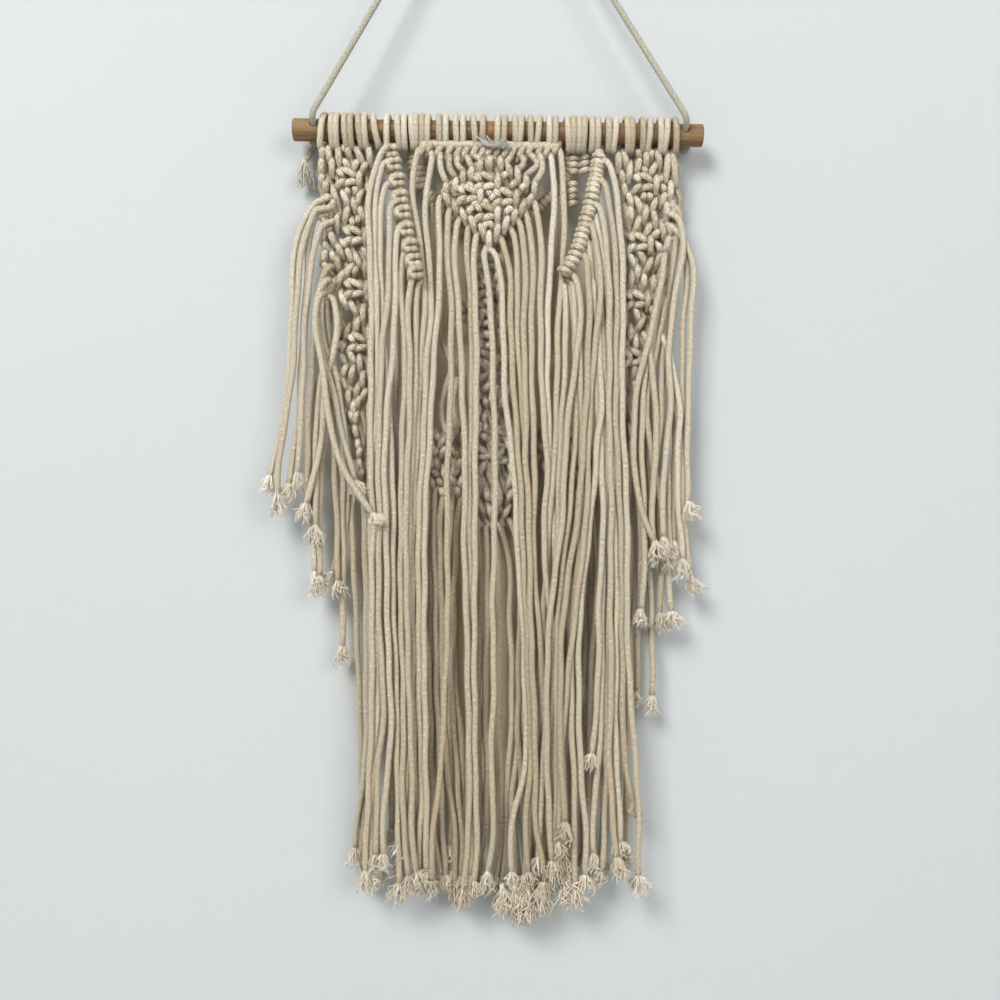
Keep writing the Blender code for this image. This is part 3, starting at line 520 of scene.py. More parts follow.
        (7, [(-109, 145.5), (-116, 152.5), (-119, 169), (-122, 196), (-123, 229.5), (-122, 272.5)]),
        (3, [(-109.5, 148), (-119, 160.5), (-127.5, 182), (-125, 222.5), (-125, 263), (-124.5, 304)]),
        (4, [(-107, 163), (-113, 175.5), (-115.5, 202.5), (-121, 249.5), (-120.5, 307)]),
        (2, [(-105.5, 171.5), (-111, 182), (-112, 209), (-110.5, 243), (-108.5, 277), (-108.5, 310.5)]),
        (-2, [(-102, 183), (-105.5, 209), (-105, 263.5), (-105.5, 318), (-106.5, 355)]),
        (-3, [(-99.5, 181.5), (-101, 215.5), (-103.5, 263.5), (-114, 304.5)]),
    ],
    "right": [
        (5, [(117.5, 50.5), (122.5, 55), (122.5, 72), (118, 91), (114, 112.5), (111, 158), (110, 181.5),
             (108, 220), (106, 237.5)]),
        (8, [(117, 57.5), (125, 62.5), (123, 89), (119, 113), (114.5, 158), (116.5, 187), (111.5, 229.5),
             (111, 280.5)]),
        (3, [(117, 72.5), (126.5, 75.5), (129.5, 86), (126.5, 117), (124, 157.5), (126, 186.5), (126, 239),
             (124.5, 254)]),
        (6, [(117.5, 65), (129.5, 73), (133.5, 89), (130, 121.5), (129, 181.5), (127.5, 220),
             (127, 256.5)]),
        (11, [(111.5, 86.5), (110.5, 102.5), (106, 122.5), (103, 140.5), (96.5, 158.5), (92, 176.5),
             (91.5, 220), (92.5, 243.5), (97, 262.5), (103, 274.5), (107.5, 282.5)]),
        (7, [(109, 115), (106.5, 135), (101, 162), (95.5, 206), (97.5, 229.5), (98.5, 286), (97.5, 310.5),
             (95.5, 329)]),
        (6, [(112, 115), (110.5, 135), (102.5, 162), (100, 182.5), (101, 202.5), (107.5, 236), (112, 263),
             (114, 290)]),
        (1, [(111.5, 126), (115.5, 148), (120, 191.5), (119.5, 248.5), (120, 283.5)]),
        (5, [(109.5, 135), (119.5, 162), (122.5, 202.5), (121, 243), (124.5, 272), (124.5, 295.5)]),
        (3, [(108.5, 138.5), (115, 168.5), (124.5, 209), (125.5, 249.5), (127.5, 280), (131.5, 308)]),
        (7, [(102.5, 147.5), (105, 175.5), (107, 209.5), (104, 249.5), (105, 287.5)]),
        (2, [(100.5, 155), (106.5, 182), (115.5, 229.5), (116.5, 277), (116, 317.5), (117.5, 331)]),
        (0, [(99.5, 162.5), (104, 195.5), (107.5, 249.5), (111, 290.5), (110, 332.5)]),
        (4, [(96, 168.5), (94.5, 209), (97, 277), (97.5, 304), (93.5, 332)]),
        (-2, [(98, 171.5), (101, 215.5), (103, 277), (104.5, 331.5), (105.5, 389)]),
        (-3, [(95.5, 176), (97.5, 222.5), (97, 290.5), (95.5, 345.5), (95, 386.5)]),
    ],
}


# cords in the shade behind the others close the fringe; each starts at a net or band and drifts inwards
shade = {
    "drift": 3.0, "middle": 370, "lowest": (488, 514),
    "starts": [  # x, drop and depth of each
        (-91, 215, -3), (-88, 120, -2), (-67, 34, 4), (-62, 62, 5), (-56, 90, 7), (-46, 235, -6),
        (-33.5, 240, -6), (-20, 245, -6), (21, 240, -6), (35, 235, -6), (49, 238, -6), (54, 244, -6),
        (64, 244, -6), (73, 238, -6), (86, 149, -2), (90, 195, -3),
    ],
}


def addShadeCords(rows):
    for x, top, out in shade["starts"]:
        drift = random.uniform(-shade["drift"], shade["drift"])
        line = [(x, top), (x + drift / 3, top + 60), (0.97 * x + drift, shade["middle"]),
                (0.93 * x + 1.3 * drift, random.uniform(*shade["lowest"]))]
        rows["back"].append((out, line))


def easeApart(rows):  # strands that would pass through each other move apart, mostly in depth
    bottom = max(line[-1][1] for strands in rows.values() for _, line in strands)
    levels = np.arange(0, bottom + fringe["level"], fringe["level"])
    everyStrand = [(name, out, np.array(line, float)) for name in rows for out, line in rows[name]]
    xs = np.full((len(everyStrand), len(levels)), np.nan)
    outs = xs.copy()
    for i, (_, out, line) in enumerate(everyStrand):
        curve = smooth(np.column_stack((line, np.zeros(len(line)))), 3.0)
        held = (levels >= line[0, 1]) & (levels <= line[-1, 1])
        xs[i, held] = np.interp(levels[held], curve[:, 1], curve[:, 0])
        outs[i, held] = out
    startOuts = outs.copy()
    rank = 1e-3 * np.arange(len(xs))
    order = np.nan_to_num(np.sign(outs[:, None] - outs[None] + (rank[:, None] - rank)[:, :, None]))
    for _ in range(fringe["passes"]):
        aside = xs[:, None] - xs[None]
        apart = np.hypot(aside, outs[:, None] - outs[None])
        short = np.nan_to_num(np.maximum(fringe["touch"] - apart, 0))
        outs += fringe["partDeep"] * (short * order).sum(axis=1)
        xs += fringe["partAside"] * (short * np.sign(np.nan_to_num(aside))).sum(axis=1)
        for table, pull in ((outs, fringe["evenDeep"]), (xs, fringe["evenAside"])):
            middle = (table[:, :-2] + table[:, 2:]) / 2
            good = ~np.isnan(middle)
            table[:, 1:-1][good] += pull * (middle - table[:, 1:-1])[good]
        outs += fringe["keepDeep"] * (startOuts - outs)
    eased = {}
    for i, (name, out, line) in enumerate(everyStrand):
        held = ~np.isnan(xs[i])
        route = np.column_stack((xs[i, held], levels[held], outs[i, held]))
        first, last = np.array((*line[0], route[0, 2] - 1.0)), np.array((*line[-1], route[-1, 2]))
        hidden = first - (3.6 * np.clip((line[1, 0] - line[0, 0]) / 2, -1, 1), 2.6, 5.0)
        if route[0, 1] - line[0, 1] < 1.5:
            route = route[1:]
        if line[-1, 1] - route[-1, 1] < 1.5:
            route = route[:-1]
        eased.setdefault(name, []).append(np.concatenate(([hidden, first], route, [last])))
    return eased


def sway(route):  # a cord never hangs quite straight
    along = route[:, 1]
    moved = route.copy()
    for axis, size in ((0, fringe["sway"]), (2, fringe["sway"] * fringe["swayDeep"])):
        for wave in fringe["swayWaves"]:
            moved[:, axis] += size * np.sin(along / wave * 2 * math.pi + random.uniform(0, 6.28))
    return moved


def addStrands(skein, strands):
    for route in strands:
        route = sway(route)
        total = np.concatenate(([0], np.cumsum(np.linalg.norm(np.diff(route, axis=0), axis=1))))
        cut = total[-1] - fringe["frayLength"] + fringe["frayDrop"]
        end = [np.interp(cut, total, route[:, axis]) for axis in range(3)]
        route = smooth(np.concatenate((route[total < cut - 1], [end])), 5.0)
        swell = cordRadius * (1 + random.normal(0, 0.025, len(route)))
        tone = random.normal(fringe["tone"], 0.07) - fringe["darkening"] * route[:, 1] / fringe["fullDrop"]
        addTube(skein, route, swell, 8, tone)
        direction = route[-1] - route[-3]
        addFray(skein, route[-1], direction, fringe["frayWidth"] * random.uniform(0.75, 1.2),
                fringe["frayLength"] * random.uniform(0.85, 1.15), tone[-1])


# wraps: each lark's head holds the dowel with two turns; x on top of the dowel and x under it

wraps = [
    (-116, -120.3), (-112.4, -112), (-108.6, -109.1), (-104.3, -102.6), (-99.7, -99.1),
    (-95.3, -92.5), (-90.6, -89.3), (-86.1, -80.8), (-74.4, -75.1), (-68.7, -66.6), (-63.3, -63),
    (-59.1, -57.2), (-55.3, -55.2), (-51.1, -51.1), (-46.9, -47.8), (-39.9, -39.3), (-35.1, -35.2),
    (-29, -27.6), (-23.4, -23.4), (-17.7, -14.6), (-9.3, -10.7), (0.3, -0.6), (5.4, 3.6),
    (11.2, 12.1), (17.3, 14.3), (22, 22.2), (29.5, 25.9), (34.7, 34.7), (39.4, 38.4), (46, 47.9),
    (51.2, 50.8), (55.1, 54.6), (59.2, 57.6), (63.8, 63.4), (67.7, 67.3), (74.7, 74.7), (80.8, 78),
    (86.5, 87.9), (90.7, 90.3), (97.7, 97.7), (103.9, 101.1), (109.5, 110), (115.6, 112.4),
    (119.5, 120.3),
]
wrapTurn = [  # drop and depth from the dowel's axis, from behind over the top to the tucked end
    (10.5, -4.5), (5.0, -9.0), (-1.0, -9.9), (-7.0, -7.2), (-10.0, -1.5), (-8.6, 5.0), (-3.5, 9.2),
    (2.5, 9.7), (7.0, 7.8), (10.6, 5.2), (13.0, 1.5),
]


def addWraps(skein, leftmost, rightmost):
    for top, low in wraps:
        if leftmost < top < rightmost:
            share = np.clip((np.arange(len(wrapTurn)) - 3) / 6, 0, 1)
            route = [(top + (low - top) * s, axisDrop(top) + drop, out)
                     for s, (drop, out) in zip(share, wrapTurn)]
            addTube(skein, smooth(route, 3.2), cordRadius * random.uniform(0.98, 1.05))


# the underlay is the run of the cords behind the knots, in a loose zigzag that bends round the gaps
underlay = {
    "spacing": 4.6, "sideSpacing": 3.7, "behind": 3.6, "step": 3.5, "clear": 2.6,
    "zigzag": 1.9, "wave": 20.5, "weave": 1.2, "layer": 0.8,
}


def addUnderlay(skein, outline, gaps, out, spacing=underlay["spacing"]):
    drops = np.array([row[0] for row in outline], float)
    lefts, rights = np.array([row[1] for row in outline]), np.array([row[2] for row in outline])
    lines = max(2, round(float((rights - lefts).max() / spacing)))
    for k in range(lines):
        levels = np.arange(drops[0], drops[-1], underlay["step"])
        width = np.interp(levels, drops, rights - lefts) - 2 * cordRadius
        across = (k + 0.5) / lines
        x = np.interp(levels, drops, lefts) + cordRadius + width * across
        phase = levels / underlay["wave"] * 2 * math.pi + math.pi * (k % 2)
        x = x + underlay["zigzag"] * np.sin(phase)
        depth = out + underlay["weave"] * np.cos(phase) - underlay["layer"] * (k % 3)
        route = np.column_stack((x, levels, depth))
        for gapX, gapDrop, wide, high in gaps:
            halfWide, halfHigh = wide / 2 + underlay["clear"], high / 2 + underlay["clear"]
            inward = (route[:, :2] - (gapX, gapDrop)) / (halfWide, halfHigh)
            inside = np.linalg.norm(inward, axis=1) < 1
            side = np.sign(x.mean() - gapX) or 1
            edge = np.sqrt(np.clip(1 - inward[:, 1] ** 2, 0, 1)) * halfWide
            route[inside, 0] = gapX + side * edge[inside]
        # the underlay's cords get a darker tone than the other cords (0.42 against 0.5): painted shade, as
        # they lie behind the knots
        addTube(skein, smooth(route, 4.0), cordRadius * 0.95, 6, random.normal(0.42, 0.1))


# the knotted work, seen from its front: hitches go from (x, drop) to (x, drop)

netLeft = {
    "out": 1.5, "wraps": (-124, -84),  # the wraps between these x are its own
    "outline": [(8.5, -121, -85), (24, -123, -84.5), (42, -123, -86), (58, -121.5, -85.5),
                (68, -116.5, -87), (80, -116.5, -86.5), (91, -121, -87), (98, -120, -86.5),
                (104, -115.5, -88), (130, -114, -88.5), (148, -108.5, -88), (166, -104.5, -89),
                (184, -101.5, -88.5), (206, -98.5, -89.5), (229, -94.5, -90.5)],
    "gaps": [(-107, 69.5, 7, 11), (-102.5, 124, 7, 11), (-97.5, 168, 6.5, 11)],
    "beads": [
        (-118.5, 9.5, -119.5, 18.5), (-119.5, 17.5, -120, 28.5), (-115.5, 8.5, -114, 20.5),
        (-112.5, 17.5, -112.5, 29), (-108.5, 8.5, -107.5, 23.5), (-105, 9, -103.5, 13.5),
        (-102.5, 9, -100.5, 18), (-97.5, 8.5, -91, 22.5), (-88, 9, -86, 22.5),
        (-105, 18.5, -100.5, 25.5), (-94.5, 18.5, -98.5, 27), (-88.5, 21, -92.5, 28),
        (-116.5, 33, -117, 41), (-119.5, 28, -119.5, 36.5), (-119, 44, -119, 53),
        (-116.5, 42, -114.5, 47.5), (-114.5, 47, -113.5, 61), (-112.5, 45, -111, 55.5),
        (-112.5, 37.5, -108.5, 49), (-106, 39.5, -101.5, 50), (-102.5, 38, -101.5, 43),
        (-98, 37, -94.5, 44), (-92, 39.5, -95.5, 50), (-89, 34.5, -86.5, 44), (-101.5, 50.5, -104, 61),
        (-98.5, 45, -96, 55), (-94, 50.5, -90.5, 60.5), (-109, 55.5, -109.5, 66.5),
        (-99.5, 58.5, -98, 64.5), (-94.5, 56.5, -95.5, 62.5), (-121.5, 54, -115.5, 65),
        (-113.5, 63, -116, 71), (-89, 50, -86, 61.5), (-109.5, 76, -105, 84.5),
        (-103, 78.5, -98.5, 88.5), (-97.5, 82, -92.5, 92), (-92, 78, -87, 87.5), (-106, 74, -103, 78.5),
        (-98.5, 89.5, -104, 98), (-104.5, 94, -109, 103.5), (-111, 99.5, -114.5, 109.5),
        (-90, 87.5, -89.5, 97.5), (-109, 84.5, -108, 94), (-95.5, 91, -98, 97.5),
        (-114, 67, -111, 76.5), (-117.5, 64.5, -119, 74), (-119.5, 74, -115, 80.5),
        (-116.5, 78.5, -119.5, 88.5), (-119, 88.5, -113.5, 95.5), (-113.5, 80.5, -110, 88.5),
        (-107, 109.5, -102.5, 119), (-100.5, 115, -95.5, 124.5), (-91.5, 118.5, -91, 129.5),
        (-94.5, 126, -96.5, 135.5), (-101.5, 131.5, -104.5, 141.5), (-89, 107.5, -86, 116.5),
        (-113, 111, -109.5, 118.5), (-109, 118.5, -112, 126.5), (-111.5, 126.5, -107.5, 133.5),
        (-107, 133.5, -110, 142), (-101.5, 148, -96.5, 157.5), (-94, 151, -93, 162),
        (-91.5, 163, -91.5, 173.5), (-94.5, 171, -96.5, 180), (-107, 166, -102.5, 175.5),
        (-101.5, 174.5, -101.5, 185.5), (-98, 182, -98, 192), (-104, 142, -107, 149.5),
        (-107.5, 149.5, -103.5, 157.5), (-103, 157.5, -106, 166.5), (-93.5, 178.5, -95.5, 187.5),
        (-98, 159, -100, 168.5), (-89, 174, -92.5, 182), (-100.5, 189, -98.5, 197),
        (-95.5, 189, -97.5, 198.5), (-97.5, 198.5, -95.5, 208),
        (-95.5, 208, -94, 217), (-93, 213, -95, 222), (-95, 221, -92.5, 230), (-92, 228, -93.5, 237),
    ],
    "squareKnots": [
        (-100.5, 31), (-96, 70.5), (-95.5, 106.5), (-93, 143),
    ],
}
netRight = {
    "out": 1.5, "wraps": (83, 124),
    "outline": [(12, 85, 124), (30, 84, 126), (50, 85.5, 126.5), (66, 84.5, 123), (82, 85.5, 118.5),
                (98, 84.5, 114), (114, 85.5, 110), (130, 84.5, 106.5), (148, 85.5, 103),
                (166, 85, 99.5), (184, 86, 97), (203, 88, 94)],
    "gaps": [(91.5, 35, 7, 11), (110.5, 76, 7, 11), (92.5, 125, 7, 11)],
    "beads": [
        (81.5, 12.5, 82, 26.5), (84, 26.5, 84.5, 36), (85.5, 34.5, 85.5, 45), (84.5, 12.5, 88, 25),
        (90, 21, 88.5, 33), (93.5, 11.5, 97, 18.5), (96.5, 17, 94, 28), (100.5, 11.5, 100.5, 23),
        (103.5, 11.5, 104, 18.5), (107, 11.5, 110.5, 24), (107.5, 21, 102.5, 30.5),
        (98, 23.5, 101, 29.5), (115.5, 13, 114, 33.5), (118, 13, 121, 36), (111, 30, 109, 34.5),
        (87.5, 40.5, 91, 51), (93.5, 44, 97.5, 55.5), (99.5, 41.5, 98, 46.5), (102, 41.5, 104, 46.5),
        (107.5, 45, 104, 54.5), (114, 40.5, 110.5, 50), (117.5, 34, 116.5, 46),
        (111, 35.5, 113.5, 41.5), (86, 49, 87.5, 62.5), (89.5, 50, 90.5, 60.5), (96.5, 57.5, 92.5, 68),
        (101, 51, 99, 60.5), (105, 52.5, 107.5, 65.5), (104, 62, 99.5, 71), (110.5, 61, 113, 72.5),
        (114, 47, 115, 61), (118.5, 47, 120, 60.5), (109.5, 66.5, 104.5, 72), (116.5, 70, 113, 82.5),
        (115, 61, 117.5, 71), (119, 61.5, 116.5, 71), (88.5, 82, 92.5, 91.5), (95.5, 80.5, 100, 90.5),
        (104.5, 86, 100, 95), (111, 82, 107, 91.5), (101.5, 77, 105, 83.5), (107.5, 75, 111, 82),
        (94.5, 91, 94.5, 100), (99, 96, 99, 105.5), (106, 98, 105.5, 108.5), (91, 94, 90, 105),
        (110.5, 91.5, 113.5, 101), (111, 102.5, 107.5, 111.5), (92.5, 119, 96, 129),
        (99.5, 126, 94.5, 134.5), (90, 132, 89.5, 141.5), (103, 116.5, 106, 125.5),
        (107, 124.5, 104, 134.5), (93.5, 138, 93.5, 148.5), (99, 136, 102, 145.5),
        (103.5, 134.5, 101, 144), (109, 113, 111.5, 122.5), (110.5, 122.5, 108.5, 132),
        (88.5, 148.5, 89.5, 157.5), (95.5, 148.5, 98, 157.5), (101, 145.5, 99, 155),
        (93.5, 157.5, 91.5, 168.5), (98, 157.5, 96, 168.5), (96, 168.5, 94, 179.5),
        (92, 168.5, 94, 178), (94, 179.5, 96, 189),
        (90, 190, 92.5, 199), (94, 189, 91, 198.5), (89, 199, 91, 208), (92.5, 200, 90, 209),
        (90.5, 209, 88.5, 218), (88, 217, 90, 226),
    ],
    "squareKnots": [
        (100.5, 34.5), (96.5, 75), (95, 114), (93.5, 153),
    ],
}
centre = {
    "out": 9.0, "wraps": (-54, 42),
    "bar": {"from": -53.0, "to": 41.5, "drop": 10.6, "out": 5.8, "radius": 3.0},
    "outline": [(17.5, -9.5, -1.5), (24, -19, 8.5), (31, -26, 16), (38, -36.5, 26.5), (46, -35.5, 25.5),
                (54, -26, 15.5), (62, -18, 7.5), (71.5, -9, -1.5)],
    "gaps": [(-25, 44, 6.5, 9), (15, 43.5, 6.5, 9)],
    "bumps": [
        (-51, 14.5), (-46, 12.5), (-40, 15), (-32.5, 14.5), (-27, 16), (-22, 16), (-16, 15.5),
        (-10.5, 16), (-6, 15.5), (-0.5, 15.5), (5, 16), (10, 16), (15.5, 16), (21.5, 14.5), (28, 14.5),
        (33, 15), (39, 13.5),
    ],
    "beads": [
        (-35, 36.5, -35, 45), (-28, 33.5, -29, 43), (-23.5, 28.5, -23.5, 37.5), (-17.5, 25.5, -18, 35),
        (-11.5, 21, -12.5, 30), (-5.5, 18.5, -5.5, 27), (1.5, 19.5, 2, 29), (6, 23.5, 9, 33),
        (13, 27, 13.5, 37), (19, 31.5, 19, 41), (25, 35.5, 24, 45), (-36.5, 43, -32.5, 52),
        (-30, 49, -27.5, 58), (-25, 54, -21.5, 63), (-19, 58.5, -15.5, 68.5), (-12.5, 63.5, -8.5, 74),
        (-6, 68.5, -6, 80), (0.5, 64, -1.5, 74), (7, 59, 4, 68.5), (12.5, 54, 10, 63), (18, 49, 15, 58),
        (23.5, 44, 19.5, 52), (-16.5, 32.5, -12, 35.5), (3, 33.5, 7, 29.5), (-20.5, 36.5, -16.5, 41),
        (-7.5, 42, -4, 46), (8, 40.5, 13, 35), (15, 42, 19, 37), (6, 52, 10, 56.5),
        (-20.5, 58, -16.5, 52.5), (-10.5, 48, -6.5, 52), (-5.5, 48.5, -1.5, 44), (-27, 42.5, -21.5, 40),
        (-18.5, 52, -12.5, 50), (-7.5, 62, -2.5, 67.5), (-10, 68, -6.5, 62.5), (5, 58, 8, 53),
    ],
    "squareKnots": [
        (-7, 36), (-18.5, 44.5), (5.5, 46.5), (-7, 56.5),
    ],
    "strands": [
        [(-39, 16), (-38.5, 26.5), (-35, 35.5)],
        [(-32.5, 17.5), (-32.5, 26.5), (-28.5, 32.5)],
        [(-27, 17.5), (-27.5, 23.5), (-23.5, 28)],
        [(-21, 18), (-19.5, 22), (-17.5, 25.5)],
        [(-15.5, 17.5), (-13.5, 19.5), (-11.5, 21.5)],
        [(9.5, 18), (6, 22), (6, 25.5)],
        [(16, 18), (17.5, 22.5), (13.5, 27.5)],
        [(21.5, 16.5), (26.5, 23.5), (19.5, 30.5)],
        [(28, 16.5), (30, 26.5), (25.5, 35.5)],
    ],
}
netBack = {
    "out": -3.5, "wraps": [(-61, -54), (42, 53)], "armRadius": 2.6, "armHalf": 4.2,
    "outline": [(72, -17, 9), (92, -20, 13), (112, -18, 11), (132, -21, 14), (152, -19, 12),
                (172, -22, 15), (192, -20, 13), (230, -22, 16), (252, -20, 14), (270, -14, 8)],
    "wings": [(198, -30, 22), (206, -44, 60), (220, -48, 73), (236, -46, 74), (248, -42, 66)],
    "gaps": [(-5.5, 152, 8, 12), (-36, 226, 7, 11), (44, 226, 8, 12)],
    "arms": [[(-58.3, 8), (-57.3, 26), (-32, 56), (-6, 86)], [(48.9, 9.4), (47.9, 26), (22, 56), (-2, 86)]],
    "loops": [[(-45, 40), (-40, 90), (-37.5, 110), (-39, 133), (-36, 146.5), (-30, 158)],
              [(-31, 160), (-37, 176), (-39, 187), (-37, 199), (-31, 208)],
              [(-27, 166), (-31, 183), (-27, 200)], [(43, 40), (40, 90), (38, 133), (36, 147), (30, 158)],
              [(32, 164), (37, 176), (37.5, 194), (42, 206)]],
    "beads": [
        (-13, 147.5, -6.5, 151), (-14, 152.5, -7.5, 161), (-11, 153.5, -5.5, 159.5),
        (-3, 155, 1.5, 161.5), (1.5, 152.5, 7, 158), (-7.5, 163, -14.5, 168.5), (-5.5, 170, -11, 175.5),
        (-3.5, 163.5, 2, 170), (1.5, 162.5, 7.5, 166.5), (-14.5, 175.5, -11.5, 182),
        (-9.5, 179.5, -8, 186), (-13, 184, -13.5, 193.5), (-9, 189.5, -10, 198),
        (-9, 196.5, -8.5, 204.5), (-13, 195, -12.5, 203.5), (-12.5, 204.5, -6.5, 208.5),
        (-4, 176, -4.5, 184), (0, 173, 0.5, 181.5), (3.5, 178.5, 1.5, 187), (7, 173, 6, 183),
        (-3.5, 184, -1.5, 192.5), (5, 184, 7, 193), (0.5, 189.5, -2.5, 196), (-14, 213, -7.5, 218),
        (-14, 220.5, -5.5, 219.5), (-4.5, 211, 1.5, 215), (-2, 219, 5.5, 221), (1.5, 224, 7.5, 222.5),
        (5.5, 208.5, 9.5, 217), (4, 214, 0, 221), (-9, 223, -13, 232), (-17.5, 213.5, -22, 219.5),
        (-16.5, 224, -19, 233.5), (-21, 229, -16.5, 239), (7.5, 224, 11, 233.5), (9.5, 232, 7, 241.5),
        (-0.5, 224, -2, 234.5), (-8.5, 243, -6.5, 250.5), (-13, 251, -9, 259.5), (8, 254, 3.5, 262),
        (-4, 247.5, -0.5, 255), (2, 245.5, 0, 254), (-17.5, 241.5, -14.5, 249.5),
        (-19, 248.5, -15, 256), (9.5, 243, 7, 251), (-7, 253, -4, 262), (-0.5, 255, -3.5, 264),
        (-43, 203.5, -40, 209.5), (-36.5, 206.5, -41.5, 215), (-41, 213.5, -44.5, 219.5),
        (-45.5, 211, -43.5, 219), (-42.5, 220.5, -41.5, 228.5), (-35.5, 213, -39.5, 219.5),
        (-27.5, 200.5, -30.5, 207.5), (-30.5, 206, -35, 213), (-33.5, 213.5, -29.5, 217.5),
        (-30.5, 215.5, -26, 221.5), (-26, 220.5, -27, 229), (-26.5, 228, -31.5, 234),
        (-37.5, 228, -36, 235.5), (-45.5, 229, -40, 233.5), (-41.5, 234.5, -38.5, 240),
        (-45.5, 234.5, -44, 242), (-28.5, 240, -26.5, 247.5), (-35.5, 236, -32, 243),
        (-32, 233.5, -28, 240), (-39.5, 241, -37, 247.5), (-33.5, 241.5, -35, 249),
        (-24.5, 233.5, -26, 241.5), (-23, 219.5, -22, 228), (-24, 208.5, -20, 215),
        (-22.5, 200.5, -25, 208.5), (-46.5, 219, -45.5, 228), (-19, 206, -16.5, 213),
        (12.5, 208.5, 17, 215), (18, 214, 14.5, 221.5), (13.5, 221.5, 18.5, 229), (19, 229, 15, 237.5),
        (20.5, 213, 24.5, 220.5), (24, 221, 20.5, 229), (22, 229, 26, 237.5), (26.5, 208.5, 30, 217),
        (28.5, 217, 26, 225), (31, 225, 35, 233.5), (11, 237.5, 15, 245.5), (16.5, 239, 20, 247),
        (22.5, 239, 25.5, 247.5), (33.5, 208.5, 37, 216), (37.5, 217, 35, 226), (37, 226.5, 41, 234.5),
        (41, 211, 44.5, 219), (43.5, 219.5, 41, 228), (46, 228, 49, 236), (50, 213, 52.5, 221),
        (52, 222.5, 49, 230.5), (54, 230.5, 57.5, 239), (59, 215.5, 63, 223), (64, 214, 67.5, 221.5),
        (61.5, 224, 59.5, 232), (67.5, 222.5, 64, 231.5), (70.5, 217, 71.5, 226), (61, 232, 65, 240),
        (66.5, 232, 69.5, 240), (71, 229, 68.5, 237.5), (60, 240, 63.5, 248.5), (67, 240, 65.5, 249),
        (56, 239, 60, 247), (-12.5, 80.5, -15, 88.5), (0, 80.5, 3, 88.5), (-15, 91.5, -11, 99.5),
        (1.5, 92.5, -2, 101), (-13.5, 109, -16.5, 117), (1.5, 110.5, 4, 118.5),
        (-16.5, 118.5, -12.5, 125.5), (3.5, 120, 0, 128), (-13.5, 129.5, -16.5, 137.5),
        (0, 132.5, 3.5, 139), (-19, 133.5, -15, 140.5), (5.5, 128, 9, 136.5), (-11, 136.5, -5.5, 139),
        (-11.5, 139, -12.5, 147.5), (-3.5, 140.5, 0, 148.5),
    ],
    "squareKnots": [
        (-7.5, 125.5), (-7.5, 87), (-6, 105.5), (-6, 140.5), (-18, 122), (-5.5, 119),
    ],
    "stacks": [  # middle, first and last drop, ribs, half a rib's width
        (-52.5, 19, 36, 5, 4.6), (51, 12, 26, 4, 4.6), (59.5, 11, 25, 4, 4.4), (50, 34.5, 47.5, 4, 4.4),
    ],
}
bandLeft = {
    "out": (8.0, 17.0), "drops": (13, 100), "wraps": (-84, -61), "coreRadius": 3.4,
    "core": [(-71.5, 13), (-67, 36), (-61, 69), (-54, 100)],
    "knots": [
        (-71.5, 15.5), (-69.5, 24.5), (-67, 35.5), (-65, 47), (-63, 57.5), (-61, 69), (-58, 80.5),
        (-55.5, 90.5), (-54, 98.5),
    ],
}
bandRight = {
    "out": (8.0, 17.0), "drops": (14, 99), "wraps": (53, 83), "coreRadius": 3.2,
    "ribHalf": 4.3, "ribSlant": 1.7,
    "core": [(68.5, 14), (66.5, 34), (61.5, 57), (55, 79), (44, 99)],
    "ribs": [
        (68.5, 18.5), (67.5, 23), (67, 26), (66.5, 29), (66.5, 32.5), (65.5, 35.5), (64.5, 39),
        (64, 42.5), (63.5, 47), (62, 51.5), (61.5, 55.5), (60.5, 58.5), (59, 62.5), (58.5, 66.5),
        (57, 70), (56, 74), (55, 78), (53.5, 81.5), (52, 86), (50, 90), (47.5, 93.5), (44.5, 97),
    ],
}


def addKnots(skein, work):
    for x1, drop1, x2, drop2 in work["beads"]:
        addHitch(skein, x1, drop1, x2, drop2, work["out"] + random.normal(0, 0.3))
    for x, drop in work["squareKnots"]:
        addSquareKnot(skein, x, drop, work["out"] + 0.8)


def makeSide(name, work, strands, node):
    skein = newSkein()
    addWraps(skein, *work["wraps"])
    behind = work["out"] - underlay["behind"]
    addUnderlay(skein, work["outline"], work["gaps"], behind, underlay["sideSpacing"])
    addKnots(skein, work)
    addStrands(skein, strands)
    makePiece(name, skein, cottonBraid, node)


def makeCentre(strands):
    skein = newSkein()
    addWraps(skein, *centre["wraps"])
    bar = centre["bar"]
    line = [(x, bar["drop"] + axisDrop(x), bar["out"]) for x in np.linspace(bar["from"], bar["to"], 9)]
    addTube(skein, smooth(line, 5.0), bar["radius"])
    for x, drop in centre["bumps"]:
        addHitch(skein, x - 2.2, drop + 3.8, x + 2.2, drop - 4.2, 6.8, plump=1.0)
    for line in centre["strands"]:
        route = [(x, drop, 7.5) for x, drop in line]
        addTube(skein, smooth(route, 3.0))
    addUnderlay(skein, centre["outline"], centre["gaps"], centre["out"] - underlay["behind"])
    addKnots(skein, centre)
    addStrands(skein, strands)
    for x, drop, out, width, length in fringe["bigFrays"]:
        addFray(skein, np.array((x, drop, out), float), np.array((0.1, 1.0, 0.0)), width, length, 0.4, 90)
    makePiece("centrePanel", skein, cottonBraid, "panel_centre")


def addBandCore(skein, band):
    addWraps(skein, *band["wraps"])
    top, low = band["out"]
    core = np.array(band["core"], float)
    depth = np.interp(core[:, 1], band["drops"], (top - 3, low - 3))
    addTube(skein, smooth(np.column_stack((core, depth)), 4.0), band["coreRadius"], 10)


